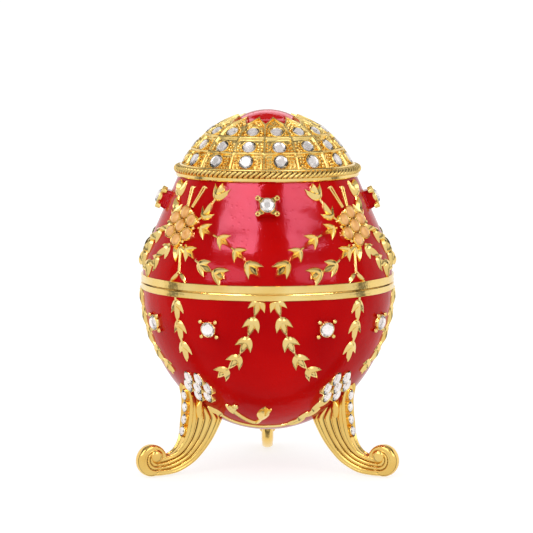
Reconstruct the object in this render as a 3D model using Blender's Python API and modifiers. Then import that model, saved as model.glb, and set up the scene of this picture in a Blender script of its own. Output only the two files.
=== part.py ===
"""Jewelled egg trinket box: a red enamelled egg in two halves on three scroll legs.

The lid lifts off the bowl. Lengths are in millimetres here and become metres
when a mesh is made. An azimuth is in degrees, 0 at the front (-Y) and growing
towards +X.
"""
import math

import bmesh
import bpy
from mathutils import Matrix, Vector

MM = 0.001

# Clearances
FIT_GAP = 0.3        # between the lid and the bowl, and between the legs and the bowl
STONE_GAP = 0.25     # between a stone and its seat

# Egg
TOTAL_HEIGHT = 75.0
PARTING_HEIGHT = 39.1      # top of the bowl's rim above the ground
EGG_RADIUS = 26.1
BOWL_DEPTH = 30.5          # half height of the bowl's ellipse
BOWL_CENTRE_DROP = 0.5     # from the top of the bowl's rim down to the ellipse's centre
BOWL_WALL = 2.0
LID_WALL = 2.0
SHOULDER_RISE = 9.0        # from the lid's lower edge to the end of the round shoulder
SHOULDER_SLOPE = 23.7      # degrees between the lid's straight wall and the upright
DOME_RADIUS = 19.75

# Rims
BAND_PROUD = 0.3
BOWL_BAND_HEIGHT = 1.2
LID_BAND_HEIGHT = 1.6
LID_RIM_WALL = 1.0
LIP_HEIGHT = 1.6

# Dome lattice and rope; drops are measured down from the egg's top
LATTICE_COLUMNS = 15
LATTICE_PHASE = 9.5
LATTICE_DEPTH = 0.7
LATTICE_BAR = 0.5              # from a ring line's middle to the flat of a cell
LATTICE_DROPS = (11.75, 7.9, 4.85)   # the three ring lines
ARCH_DROP = 1.6                # middle of the row of arches
ARCH_SWING = 4.3               # degrees, an arch's tip above the middle of its row
ROPE_STRANDS = 48
ROPE_RADIUS = 0.85
ROPE_DROP = 12.2
ROPE_PROUD = 0.75
ROPE_RELIEF = 0.16
LEDGE_DROPS = (12.9, 13.7)     # upper and lower edge of the plain ring under the rope
LEDGE_PROUD = 0.6

# Relief
HUSK_WIDTH = 3.5
HUSK_HEIGHT = 0.8
RELIEF_SINK = 0.7
SPRIG_WIDTH = 1.4
SPIKE_LEAN = 4.0               # degrees that a flower's two spikes lean apart
FORK_WIDTH = 2.6               # foot of the rod beneath each flower of the lid

# Stones
LID_CRYSTAL_RADIUS = 1.5
LID_CRYSTAL_HEIGHT = 1.2
LID_POST_HEIGHT = 1.9
LID_POST_HALF = 2.1
BOWL_CRYSTAL_RADIUS = 1.4
BOWL_CRYSTAL_HEIGHT = 1.1
CUP_WALL = 0.45
CUP_HEIGHT = 0.8
CUP_POCKET = 0.45
DOME_CRYSTAL_RADIUS = 1.35
DOME_CRYSTAL_HEIGHT = 0.8
DOME_CRYSTAL_DROP = 9.9
PETAL_RADIUS = 1.4
PETAL_PITCH = 2.95
PETAL_PHASE = 28.0             # degrees from the sideways axis to a flower's first petal
PETAL_HEIGHT = 1.1
FLOWER_BOSS_HEIGHT = 0.6
MARQUISE_WIDTH = 2.6
MARQUISE_PITCH = 2.15
MARQUISE_HEIGHT = 0.9
RIDGE_STONE_LENGTH = 2.1
RIDGE_STONE_WIDTH = 1.3
RIDGE_STONE_HEIGHT = 0.8

# Stations of the pattern
LID_STATION = 49.5
LID_FLOWER_HEIGHT = 51.9
LID_CRYSTAL_Z = 56.3
BOWL_STATION = 44.5
BOWL_FLOWER_Z = 18.9
BOWL_CRYSTAL_Z = 31.9
BOWL_CRYSTAL_AZIMUTHS = (27.6, 64.0)

# Legs; the outlines are (reach from the egg's axis, height), from the bowl down to the scroll
LEG_AZIMUTHS = {"left": -60.0, "right": 60.0, "back": 180.0}
LEG_BAND_HALF = 2.1
LEG_KEEL_HALF = 1.0
LEG_RAIL = 0.5
LEG_RAIL_HEIGHT = 0.35
LEG_OUTER = ((18.9, 19.9), (19.9, 18.3), (19.4, 15.6), (19.5, 12.6), (19.8, 10.4), (20.1, 8.6), (20.8, 6.8),
             (22.0, 5.3), (23.4, 4.5), (24.8, 4.2), (26.2, 4.0), (27.6, 3.9))
LEG_INNER = ((10.0, 16.3), (9.6, 14.9), (9.4, 13.5), (9.6, 12.0), (11.2, 10.8), (12.3, 8.6), (13.6, 6.6),
             (15.4, 4.5), (17.6, 2.5), (20.4, 1.0), (22.6, 0.1), (26.6, -0.3))
LEG_BAND_SHARES = (0.48, 0.95, 1.0, 1.0, 0.97, 0.85, 0.7, 0.6, 0.56, 0.56, 0.58, 0.6)
LEG_KEEL_SHARES = (0.5, 0.9, 1.0, 1.0, 1.0, 1.0, 1.0, 1.0, 1.05, 1.1, 1.15, 1.2)
LEG_FLUTE_SHARES = (0, 0, 0, 0.4, 1, 1, 1, 0.9, 0.8, 0.7, 0.5, 0.3)
FLUTES = 4
FLUTE_DEPTH = 0.4
SCROLL_RADIUS = 3.35
SCROLL_CENTRE_RADIUS = 27.6
SCROLL_CENTRE_Z = 3.5
SCROLL_HALF_WIDTH = 1.4
SCROLL_EYE_RADIUS = 1.6
SCROLL_EYE_PROUD = 0.45
RIDGE_STONES = 4
RIDGE_ROWS = (1, 7)            # stations of the leg between which its stones lie

SHELL_STEPS = 36

# Levels that follow from the sizes
LID_BOTTOM = PARTING_HEIGHT + FIT_GAP
BOWL_CENTRE = PARTING_HEIGHT - BOWL_CENTRE_DROP
BAND_RADIUS = EGG_RADIUS + BAND_PROUD
REBATE_RADIUS = BAND_RADIUS - LID_RIM_WALL
LIP_RADIUS = REBATE_RADIUS - FIT_GAP
LIP_TOP = PARTING_HEIGHT + LIP_HEIGHT
REBATE_TOP = LIP_TOP + FIT_GAP
SHOULDER_ANGLE = math.radians(SHOULDER_SLOPE)
SHOULDER_RADIUS = SHOULDER_RISE / math.sin(SHOULDER_ANGLE)
SHOULDER_TOP = LID_BOTTOM + SHOULDER_RISE
DOME_CENTRE = TOTAL_HEIGHT - DOME_RADIUS
ROPE_Z = TOTAL_HEIGHT - ROPE_DROP
LINE_RUNS = [math.acos((DOME_RADIUS - drop) / DOME_RADIUS) for drop in LATTICE_DROPS]
ARCH_RUN = math.acos((DOME_RADIUS - ARCH_DROP) / DOME_RADIUS)
SCROLL_REACH = SCROLL_CENTRE_RADIUS + SCROLL_RADIUS
AXIS_Y = (BAND_RADIUS - SCROLL_REACH) / 2


def bowl_radius(z):
    """Outer radius of the bowl at a height."""
    share = min(1.0, abs(z - BOWL_CENTRE) / BOWL_DEPTH)
    return EGG_RADIUS * math.sqrt(max(0.0, 1 - share * share))


def wall_radius(z):
    """Outer radius of the lid's shoulder and straight wall at a height."""
    rise = z - LID_BOTTOM
    if rise <= SHOULDER_RISE:
        return EGG_RADIUS - SHOULDER_RADIUS + math.sqrt(SHOULDER_RADIUS ** 2 - rise ** 2)
    bend = SHOULDER_RADIUS * (1 - math.cos(SHOULDER_ANGLE))
    return EGG_RADIUS - bend - math.tan(SHOULDER_ANGLE) * (z - SHOULDER_TOP)


def dome_radius(z):
    """Radius of the dome's sphere at a height."""
    rise = min(DOME_RADIUS, z - DOME_CENTRE)
    return math.sqrt(DOME_RADIUS ** 2 - rise ** 2)


def lid_radius(z):
    """Outer radius of the lid at a height."""
    return wall_radius(z) if z < ROPE_Z else dome_radius(z)


def surface_frame(radius_at, azimuth, z, proud=0.0):
    """Matrix on the egg's surface: X sideways, Y up along it, Z out of it."""
    turn = math.radians(azimuth)
    out = Vector((math.sin(turn), -math.cos(turn), 0))
    side = Vector((math.cos(turn), math.sin(turn), 0))
    slope = (radius_at(z + 0.05) - radius_at(z - 0.05)) / 0.1
    up = (out * slope + Vector((0, 0, 1))).normalized()
    normal = side.cross(up)
    place = out * radius_at(z) + Vector((0, 0, z)) + normal * proud
    frame = Matrix((side, up, normal)).transposed().to_4x4()
    frame.translation = place * MM
    return frame


def new_collection(name):
    collection = bpy.data.collections.new(name)
    bpy.context.scene.collection.children.link(collection)
    return collection


def new_material(name, colour, metallic, roughness):
    material = bpy.data.materials.new(name)
    material.use_nodes = True
    shader = material.node_tree.nodes["Principled BSDF"]
    shader.inputs["Base Color"].default_value = (*colour, 1)
    shader.inputs["Metallic"].default_value = metallic
    shader.inputs["Roughness"].default_value = roughness
    material.diffuse_color = (*colour, 1)
    return material


def add_object(name, mesh, collection, material=None):
    """Object on the egg's own axis."""
    thing = bpy.data.objects.new(name, mesh)
    collection.objects.link(thing)
    thing.parent = axis_empty
    if material and not mesh.materials:
        mesh.materials.append(material)
    return thing


def as_guide(thing):
    """Mark an object that only cuts or joins others."""
    thing.hide_render = True
    thing.display_type = "WIRE"
    return thing


def shade_round(mesh):
    """Smooth shading that keeps the edges of more than 35 degrees sharp."""
    mesh.shade_smooth()
    mesh.set_sharp_from_angle(angle=math.radians(35))


def finish_mesh(name, bm, smooth=True):
    """Mesh from a bmesh in millimetres, with its faces outward."""
    bmesh.ops.connect_verts_nonplanar(bm, angle_limit=0.0001, faces=bm.faces[:])
    bmesh.ops.recalc_face_normals(bm, faces=bm.faces[:])
    bmesh.ops.scale(bm, vec=(MM, MM, MM), verts=bm.verts[:])
    mesh = bpy.data.meshes.new(name)
    bm.to_mesh(mesh)
    bm.free()
    if smooth:
        shade_round(mesh)
    return mesh


def add_loft(bm, rings):
    """Closed body through rings of points, with a face over each end."""
    rows = [[bm.verts.new(point) for point in ring] for ring in rings]
    for low, high in zip(rows, rows[1:]):
        count = len(low)
        for i in range(count):
            j = (i + 1) % count
            bm.faces.new((low[i], low[j], high[j], high[i]))
    bm.faces.new(rows[0][::-1])
    bm.faces.new(rows[-1])


def turned(name, profile, collection, material=None):
    """Turned solid from a profile that runs down its outer side."""
    mesh = bpy.data.meshes.new(name)
    points = [(radius * MM, 0, z * MM) for radius, z in profile]
    mesh.from_pydata(points, [(i, i + 1) for i in range(len(points) - 1)], [])
    thing = add_object(name, mesh, collection, material)
    screw = thing.modifiers.new("turn", "SCREW")
    screw.steps = SHELL_STEPS
    screw.render_steps = SHELL_STEPS
    screw.use_merge_vertices = True
    screw.merge_threshold = 0.00001
    solid = evaluated_mesh(thing, name)
    shade_round(solid)
    thing.modifiers.clear()
    thing.data = solid
    return thing


def add_boolean(thing, other, operation):
    boolean = thing.modifiers.new(other.name, "BOOLEAN")
    boolean.operation = operation
    boolean.object = other


def add_frustum(bm, frame, base, top, low, high, sides, stretch=1.0, spin=0.0):
    """Round or oval frustum on a surface frame, from height low to high."""
    rings = []
    for radius, level in ((base, low), (top, high)):
        ring = []
        for i in range(sides):
            turn = 2 * math.pi * (i + 0.5) / sides
            spot = Vector((radius * math.cos(turn), radius * stretch * math.sin(turn), level))
            spot.rotate(Matrix.Rotation(spin, 3, "Z"))
            ring.append(frame @ (spot * MM) / MM)
        rings.append(ring)
    add_loft(bm, rings)


def path_points(radius_at, knots, samples=48):
    """Even points along a smooth path through (azimuth, height) knots."""
    dense = []
    last = len(knots) - 1
    for i in range(last):
        before = knots[max(0, i - 1)]
        here, there = knots[i], knots[i + 1]
        after = knots[min(last, i + 2)]
        for step in range(12):
            t = step / 12
            spot = []
            for a, b, c, d in zip(before, here, there, after):
                bend = (2 * a - 5 * b + 4 * c - d) * t * t + (3 * b - a - 3 * c + d) * t ** 3
                spot.append(b + ((c - a) * t + bend) / 2)
            dense.append(spot)
    dense.append(list(knots[-1]))
    places = [surface_frame(radius_at, az, z).translation / MM for az, z in dense]
    lengths = [0.0]
    for one, two in zip(places, places[1:]):
        lengths.append(lengths[-1] + (two - one).length)
    even = []
    for i in range(samples + 1):
        want = lengths[-1] * i / samples
        k = max(1, next((n for n, s in enumerate(lengths) if s >= want - 1e-9), len(lengths) - 1))
        share = (want - lengths[k - 1]) / max(1e-9, lengths[k] - lengths[k - 1])
        even.append([a + (b - a) * share for a, b in zip(dense[k - 1], dense[k])])
    return even


def add_strip(bm, radius_at, knots, sections):
    """Ridged strip on the egg's surface; sections are (share, width, height)."""
    path = path_points(radius_at, knots)
    last = len(path) - 1
    rings = []
    for share, width, height in sections:
        i = min(last, max(0, round(share * last)))
        frame = surface_frame(radius_at, *path[i])
        ahead = surface_frame(radius_at, *path[min(last, i + 1)]).translation
        behind = surface_frame(radius_at, *path[max(0, i - 1)]).translation
        normal = frame.col[2].to_3d()
        along = (ahead - behind).normalized()
        side = along.cross(normal).normalized()
        middle = frame.translation / MM
        edge = -height / 3
        rings.append([
            middle + side * (width / 2) + normal * edge,
            middle + normal * height,
            middle - side * (width / 2) + normal * edge,
            middle - normal * RELIEF_SINK,
        ])
    add_loft(bm, rings)


def garland_sections(husks, width=HUSK_WIDTH):
    """Chain of leaves that widen away from the start of the garland."""
    sections = []
    for i in range(husks):
        sections.append((i / husks, 0.3 * width, 0.5 * HUSK_HEIGHT))
        sections.append(((i + 0.66) / husks, width, HUSK_HEIGHT))
    return sections + [(1, 0.3 * width, 0.5 * HUSK_HEIGHT)]


def around(knots):
    """The knots at the four stations, front right, front left and the same behind."""
    for sign in (1, -1):
        yield [(sign * az, z) for az, z in knots]
        yield [(sign * (180 - az), z) for az, z in knots]


def lid_outer_mesh():
    """The lid's outer form, solid, with ribs and sunk cells over its dome."""
    count = LATTICE_COLUMNS * 4
    band_top = LID_BOTTOM + LID_BAND_HEIGHT
    wall_bottom = band_top + LID_BAND_HEIGHT / 10
    ledge_top, ledge_bottom = (TOTAL_HEIGHT - drop for drop in LEDGE_DROPS)
    ledge_radius = wall_radius(ledge_bottom) + LEDGE_PROUD
    levels = [[(BAND_RADIUS, LID_BOTTOM)] * count, [(BAND_RADIUS, band_top)] * count]
    for z in (wall_bottom, (wall_bottom + SHOULDER_TOP) / 2, SHOULDER_TOP, ledge_bottom):
        levels.append([(wall_radius(z), z)] * count)
    levels += [[(ledge_radius, ledge_bottom)] * count, [(ledge_radius, ledge_top)] * count]
    bar = LATTICE_BAR / DOME_RADIUS
    tops = LINE_RUNS[1:] + [ARCH_RUN]
    for line, top in zip(LINE_RUNS, tops):
        for run, sunk in ((line, False), (line - bar, True), (top + bar, True)):
            level = []
            for k in range(count):
                reach = DOME_RADIUS - (LATTICE_DEPTH if sunk and k % 4 else 0)
                level.append((reach * math.sin(run), DOME_CENTRE + reach * math.cos(run)))
            levels.append(level)
    swing = math.radians(ARCH_SWING)
    runs = [ARCH_RUN + swing * (abs(k % 4 - 2) - 1) for k in range(count)]
    for level_runs in (runs, [ARCH_RUN / 2] * count):
        levels.append([(DOME_RADIUS * math.sin(run), DOME_CENTRE + DOME_RADIUS * math.cos(run))
                       for run in level_runs])
    bm = bmesh.new()
    rings = []
    for level in levels:
        ring = []
        for k, (radius, z) in enumerate(level):
            turn = math.radians(LATTICE_PHASE + 360 * (k - 2) / count)
            ring.append(bm.verts.new((radius * math.sin(turn), -radius * math.cos(turn), z)))
        rings.append(ring)
    apex = bm.verts.new((0, 0, TOTAL_HEIGHT))
    for k in range(count):
        n = (k + 1) % count
        for low, high in zip(rings, rings[1:]):
            bm.faces.new((low[k], low[n], high[n], high[k]))
        bm.faces.new((rings[-1][k], rings[-1][n], apex))
    bm.faces.new(rings[0][::-1])
    return finish_mesh("lid", bm)


def rope_mesh():
    """Twisted rope that lies half sunk round the foot of the dome."""
    count = ROPE_STRANDS * 2
    section = 6
    centre = wall_radius(ROPE_Z) + ROPE_PROUD
    bm = bmesh.new()
    grid = []
    for i in range(count):
        ring = []
        for j in range(section):
            roll = 2 * math.pi * j / section
            lift = ROPE_RADIUS + (ROPE_RELIEF if i % 2 else -ROPE_RELIEF)
            radius = centre + lift * math.cos(roll)
            z = ROPE_Z + lift * math.sin(roll)
            turn = 2 * math.pi * (i + 0.9 * math.sin(roll)) / count
            ring.append(bm.verts.new((radius * math.sin(turn), -radius * math.cos(turn), z)))
        grid.append(ring)
    for i in range(count):
        for j in range(section):
            m, n = (i + 1) % count, (j + 1) % section
            bm.faces.new((grid[i][j], grid[m][j], grid[m][n], grid[i][n]))
    return finish_mesh("rope", bm)


def lid_garlands_mesh():
    """Husk garlands, spikes and rods round the four flowers of the lid."""
    bm = bmesh.new()
    front = LID_STATION - 4.5
    side = 90 - LID_STATION - 4.5
    z = LID_FLOWER_HEIGHT
    for direction, reach in ((-1, front), (1, side)):
        long_run = [(LID_STATION + direction * share * reach, z + rise)
                    for share, rise in ((0.25, -0.2), (0.57, -1.9), (0.8, -4.3), (1.0, -9.0))]
        low_run = [(LID_STATION + direction * share * reach, z + rise)
                   for share, rise in ((0.11, -3.9), (0.4, -7.0), (0.72, -9.2))]
        up_run = [(LID_STATION + direction * share * reach, z + rise)
                  for share, rise in ((0.19, 2.0), (0.5, 7.6))]
        for knots, husks in ((long_run, 4), (low_run, 3), (up_run, 2)):
            for station in around(knots):
                add_strip(bm, lid_radius, station, garland_sections(husks))
    spike = [(0, 0.7, 0.5), (0.8, 0.9, 0.5), (1, 0.3, 0.2)]
    rod = [(0, 0.6, 0.45), (0.5, 0.6, 0.45), (1, FORK_WIDTH, 0.6)]
    for lean in (-SPIKE_LEAN, SPIKE_LEAN):
        spike_run = [(LID_STATION + 0.5 * lean - 0.5, z + 4.6), (LID_STATION + lean - 1, z + 7.8)]
        for station in around(spike_run):
            add_strip(bm, lid_radius, station, spike)
    for station in around([(LID_STATION, z - 4.3), (LID_STATION, z - 9.6)]):
        add_strip(bm, lid_radius, station, rod)
    return finish_mesh("lid_garlands", bm)


def bowl_garlands_mesh():
    """Husk garlands of the bowl and the sprigs beneath it."""
    bm = bmesh.new()
    top = PARTING_HEIGHT - BOWL_BAND_HEIGHT
    swags = ((4.5, -0.4), (5.6, -5.4), (9.5, -9.9), (15.5, -13.3), (25.0, -16.2))
    for knots in ([(az, top + drop) for az, drop in swags], [(90 - az, top + drop) for az, drop in swags]):
        for station in around(knots):
            add_strip(bm, bowl_radius, station, garland_sections(5))
    straight = [(BOWL_STATION, top - 0.4), (BOWL_STATION, BOWL_FLOWER_Z + 3.9)]
    for station in around(straight):
        add_strip(bm, bowl_radius, station, garland_sections(4))
    curl = [(0, 0.6 * SPRIG_WIDTH, 0.4), (0.12, 1.5 * SPRIG_WIDTH, 0.6), (0.3, SPRIG_WIDTH, 0.5),
            (0.7, SPRIG_WIDTH, 0.5), (0.88, 1.5 * SPRIG_WIDTH, 0.6), (1, 0.6 * SPRIG_WIDTH, 0.4)]
    for turn in (0, 120, 240):
        sprig = [(-28, 15.0), (-22, 12.6), (-15, 11.4), (-8, 11.6), (-2, 14.6)]
        line = [(-47, 12.8), (-36, 10.8), (0, 10.0), (21, 10.5), (32, 12.0), (37, 13.8)]
        for knots in (sprig, line):
            add_strip(bm, bowl_radius, [(az + turn, z) for az, z in knots], curl)
    return finish_mesh("bowl_garlands", bm)


def boss_mesh(name, radius_at, spots, radius, height, sides=8):
    """Short posts that carry stones at the spots (azimuth, height)."""
    bm = bmesh.new()
    for azimuth, z in spots:
        frame = surface_frame(radius_at, azimuth, z)
        add_frustum(bm, frame, radius, radius, -RELIEF_SINK, height, sides)
    return finish_mesh(name, bm)


def pocket_mesh(name, radius_at, spots, radius, low, high, sides=8):
    """Cutters that sink a stone's seat into the posts."""
    bm = bmesh.new()
    for azimuth, z in spots:
        frame = surface_frame(radius_at, azimuth, z)
        add_frustum(bm, frame, radius, radius, low, high, sides)
    return finish_mesh(name, bm)


def crystal_mesh(name, radius, height, sides=8, stretch=1.0, table=0.62):
    """Cut stone with a flat back on its seat."""
    bm = bmesh.new()
    add_frustum(bm, Matrix.Identity(4), radius, table * radius, 0, height, sides, stretch)
    return finish_mesh(name, bm, smooth=False)


def stone_object(name, mesh, frame, collection, material):
    thing = add_object(name, mesh, collection, material)
    thing.matrix_local = frame
    return thing


def rosette_mesh(name, reach, waist, height, middle):
    """Middle stone and six petal stones that touch, as one low body."""
    bm = bmesh.new()
    rings = []
    for tip, notch, level in ((reach, waist, 0), (0.86 * reach, 0.9 * waist, 0.75 * height),
                              (1.25 * middle, 1.1 * middle, 0.6 * height), (0.75 * middle, 0.7 * middle, height)):
        ring = []
        for i in range(12):
            turn = math.radians(30 * i + PETAL_PHASE)
            radius = notch if i % 2 else tip
            ring.append(Vector((radius * math.cos(turn), radius * math.sin(turn), level)))
        rings.append(ring)
    add_loft(bm, rings)
    return finish_mesh(name, bm)


def leg_rows():
    """Stations down the leg: outer point, inner point, half widths and flute depth."""
    rows = []
    for outer, inner, band, keel, flute in zip(LEG_OUTER, LEG_INNER, LEG_BAND_SHARES, LEG_KEEL_SHARES,
                                               LEG_FLUTE_SHARES):
        rows.append((outer, inner, band * LEG_BAND_HALF, keel * LEG_KEEL_HALF, flute))
    return rows


def leg_blank_mesh():
    """Fluted wedge of the leg, at azimuth 90 on the egg's axis."""
    bm = bmesh.new()
    rings = []
    for outer, inner, outer_half, inner_half, flute in leg_rows():
        outer = Vector((outer[0], 0, outer[1]))
        inner = Vector((inner[0], 0, inner[1]))
        rail = (outer - inner).normalized()
        side_steps = 2 * FLUTES
        points = []
        for i in range(side_steps + 1):
            share = 0.08 + 0.92 * i / side_steps
            half = outer_half + (inner_half - outer_half) * share
            if i % 2 and i < side_steps:
                half -= FLUTE_DEPTH * flute * min(1.0, half / 2)
            points.append((outer + (inner - outer) * share, half))
        rail_width = min(LEG_RAIL, 0.35 * outer_half)
        band = [(outer, outer_half), (outer, outer_half - rail_width),
                (outer - rail * LEG_RAIL_HEIGHT, outer_half - 1.1 * rail_width)]
        half_ring = [(middle, half) for middle, half in reversed(points)] + band
        ring = [middle + Vector((0, half, 0)) for middle, half in half_ring]
        ring += [middle - Vector((0, half, 0)) for middle, half in reversed(half_ring)]
        rings.append(ring)
    add_loft(bm, rings)
    return finish_mesh("leg_blank", bm)


def disc_mesh(name, radius, half_width, sides, tip=1.0):
    """Disc across the leg at the scroll's centre."""
    bm = bmesh.new()
    rings = []
    for y, reach in ((-half_width, tip * radius), (0, radius), (half_width, tip * radius)):
        ring = []
        for i in range(sides):
            turn = 2 * math.pi * (i + 0.5) / sides
            ring.append(Vector((SCROLL_CENTRE_RADIUS + reach * math.cos(turn), y,
                                SCROLL_CENTRE_Z + reach * math.sin(turn))))
        rings.append(ring)
    add_loft(bm, rings)
    return finish_mesh(name, bm)


def evaluated_mesh(thing, name):
    """Mesh of an object with its modifiers applied."""
    bpy.context.view_layer.update()
    graph = bpy.context.evaluated_depsgraph_get()
    mesh = bpy.data.meshes.new_from_object(thing.evaluated_get(graph))
    mesh.name = name
    return mesh


for old in list(bpy.data.objects):
    bpy.data.objects.remove(old, do_unlink=True)

parts = new_collection("jewelled_egg_box")
guides = new_collection("egg_box_guides")
axis_empty = bpy.data.objects.new("egg_axis", None)
axis_empty.location = (0, AXIS_Y * MM, 0)
parts.objects.link(axis_empty)

enamel = new_material("red_enamel", (0.42, 0.006, 0.008), 0.0, 0.12)
gold = new_material("gold", (0.83, 0.55, 0.16), 1.0, 0.16)
crystal = new_material("crystal", (0.92, 0.93, 0.95), 0.0, 0.03)
peach = new_material("peach_stone", (0.87, 0.46, 0.15), 0.0, 0.3)

# Bowl: hollow turned shell with a locating lip
inner_floor = BOWL_CENTRE - (BOWL_DEPTH - BOWL_WALL)
outer_floor = BOWL_CENTRE - BOWL_DEPTH
profile = [(0, inner_floor)]
for i in range(1, 7):
    run = math.radians(90 * i / 6)
    profile.append(((EGG_RADIUS - BOWL_WALL) * math.sin(run),
                    BOWL_CENTRE - (BOWL_DEPTH - BOWL_WALL) * math.cos(run)))
profile += [(EGG_RADIUS - BOWL_WALL, LIP_TOP), (LIP_RADIUS, LIP_TOP), (LIP_RADIUS, PARTING_HEIGHT),
            (BAND_RADIUS, PARTING_HEIGHT), (BAND_RADIUS, PARTING_HEIGHT - BOWL_BAND_HEIGHT)]
band_foot = PARTING_HEIGHT - BOWL_BAND_HEIGHT - 0.15
start = math.degrees(math.acos((BOWL_CENTRE - band_foot) / BOWL_DEPTH))
outer_profile = []
for i in range(10):
    run = math.radians(start * (1 - i / 9))
    outer_profile.append((EGG_RADIUS * math.sin(run), BOWL_CENTRE - BOWL_DEPTH * math.cos(run)))
outer_profile[-1] = (0, outer_floor)
bowl = turned("bowl", profile + outer_profile, parts, enamel)
add_boolean(bowl, as_guide(add_object("bowl_garlands", bowl_garlands_mesh(), guides)), "UNION")
bowl_spots = [spot for azimuth in BOWL_CRYSTAL_AZIMUTHS
              for spots in around([(azimuth, BOWL_CRYSTAL_Z)]) for spot in spots]
cup_radius = BOWL_CRYSTAL_RADIUS + STONE_GAP + CUP_WALL
cups = boss_mesh("bowl_cups", bowl_radius, bowl_spots, cup_radius, CUP_HEIGHT)
add_boolean(bowl, as_guide(add_object("bowl_cups", cups, guides)), "UNION")
pockets = pocket_mesh("bowl_pockets", bowl_radius, bowl_spots, BOWL_CRYSTAL_RADIUS + STONE_GAP,
                      CUP_HEIGHT - CUP_POCKET, CUP_HEIGHT + 1)
add_boolean(bowl, as_guide(add_object("bowl_pockets", pockets, guides)), "DIFFERENCE")

# Lid: lattice dome and shoulder, hollow inside, with a rebate over the bowl's lip
lid = add_object("lid", lid_outer_mesh(), parts, enamel)
add_boolean(lid, as_guide(add_object("rope", rope_mesh(), guides)), "UNION")
add_boolean(lid, as_guide(add_object("lid_garlands", lid_garlands_mesh(), guides)), "UNION")
flower_spots = [spot for spots in around([(LID_STATION, LID_FLOWER_HEIGHT)]) for spot in spots]
bosses = boss_mesh("flower_bosses", lid_radius, flower_spots, PETAL_PITCH + 0.8 * PETAL_RADIUS,
                   FLOWER_BOSS_HEIGHT, 12)
add_boolean(lid, as_guide(add_object("flower_bosses", bosses, guides)), "UNION")
lid_spots = {"front": (0, LID_CRYSTAL_Z), "right": (90, LID_CRYSTAL_Z),
             "back": (180, LID_CRYSTAL_Z), "left": (-90, LID_CRYSTAL_Z)}
posts = boss_mesh("crystal_posts", lid_radius, lid_spots.values(), math.sqrt(2) * LID_POST_HALF,
                  LID_POST_HEIGHT, 4)
add_boolean(lid, as_guide(add_object("crystal_posts", posts, guides)), "UNION")
pockets = pocket_mesh("lid_pockets", lid_radius, lid_spots.values(), LID_CRYSTAL_RADIUS + STONE_GAP,
                      LID_POST_HEIGHT - CUP_POCKET, LID_POST_HEIGHT + 1)
add_boolean(lid, as_guide(add_object("lid_pockets", pockets, guides)), "DIFFERENCE")
hollow_profile = []
for i in range(5):
    run = math.radians(68 * i / 4)
    reach = DOME_RADIUS - LID_WALL
    hollow_profile.append((reach * math.sin(run), DOME_CENTRE + reach * math.cos(run)))
for z in (ROPE_Z - 4, SHOULDER_TOP, (SHOULDER_TOP + REBATE_TOP) / 2, REBATE_TOP):
    hollow_profile.append((wall_radius(z) - LID_WALL, z))
hollow_profile += [(REBATE_RADIUS, REBATE_TOP), (REBATE_RADIUS, LID_BOTTOM - 1), (0, LID_BOTTOM - 1)]
hollow = as_guide(turned("lid_hollow", hollow_profile, guides))
add_boolean(lid, hollow, "DIFFERENCE")

# Legs: one casting, cut clear of the bowl and flat on the ground
casting = as_guide(add_object("leg_casting", leg_blank_mesh(), guides))
scroll = as_guide(add_object("scroll", disc_mesh("scroll", SCROLL_RADIUS, SCROLL_HALF_WIDTH, 18, 0.86), guides))
eyes = as_guide(add_object("scroll_eyes", disc_mesh("scroll_eyes", SCROLL_EYE_RADIUS,
                           SCROLL_HALF_WIDTH + SCROLL_EYE_PROUD, 8, 0.6), guides))
clear_profile = [(0, PARTING_HEIGHT), (EGG_RADIUS + FIT_GAP + 0.6, PARTING_HEIGHT)]
for i in range(12):
    run = math.radians(90 * (1 - i / 11))
    clear_profile.append(((EGG_RADIUS + FIT_GAP) * math.sin(run),
                          BOWL_CENTRE - (BOWL_DEPTH + FIT_GAP) * math.cos(run)))
clear_profile[-1] = (0, BOWL_CENTRE - BOWL_DEPTH - FIT_GAP)
clear = as_guide(turned("bowl_clearance", clear_profile, guides))
bm = bmesh.new()
bmesh.ops.create_cube(bm, size=40)
bmesh.ops.translate(bm, vec=(SCROLL_CENTRE_RADIUS, 0, -20), verts=bm.verts[:])
ground = as_guide(add_object("ground", finish_mesh("ground", bm), guides))
for other, operation in ((scroll, "UNION"), (eyes, "UNION"), (clear, "DIFFERENCE"), (ground, "DIFFERENCE")):
    add_boolean(casting, other, operation)
leg_mesh = evaluated_mesh(casting, "leg")
for side, azimuth in LEG_AZIMUTHS.items():
    leg = add_object(f"leg_{side}", leg_mesh, parts, gold)
    leg.rotation_euler = (0, 0, math.radians(azimuth - 90))

# Crystals in the cups of the bowl and on the posts of the lid
bowl_stone = crystal_mesh("bowl_crystal", BOWL_CRYSTAL_RADIUS, BOWL_CRYSTAL_HEIGHT)
for (azimuth, z), n in zip(bowl_spots, range(1, 9)):
    frame = surface_frame(bowl_radius, azimuth, z, CUP_HEIGHT - CUP_POCKET + STONE_GAP)
    stone_object(f"bowl_crystal_{n}", bowl_stone, frame, parts, crystal)
lid_stone = crystal_mesh("lid_crystal", LID_CRYSTAL_RADIUS, LID_CRYSTAL_HEIGHT)
for side, (azimuth, z) in lid_spots.items():
    frame = surface_frame(lid_radius, azimuth, z, LID_POST_HEIGHT - CUP_POCKET + STONE_GAP)
    stone_object(f"lid_crystal_{side}", lid_stone, frame, parts, crystal)

# Lowest row of crystals in the dome's lattice
dome_stone = crystal_mesh("dome_crystal", DOME_CRYSTAL_RADIUS, DOME_CRYSTAL_HEIGHT)
for n in range(LATTICE_COLUMNS):
    azimuth = LATTICE_PHASE + 360 * n / LATTICE_COLUMNS
    frame = surface_frame(dome_radius, azimuth, TOTAL_HEIGHT - DOME_CRYSTAL_DROP, STONE_GAP - LATTICE_DEPTH)
    stone_object(f"dome_crystal_{n + 1}", dome_stone, frame, parts, crystal)

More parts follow.
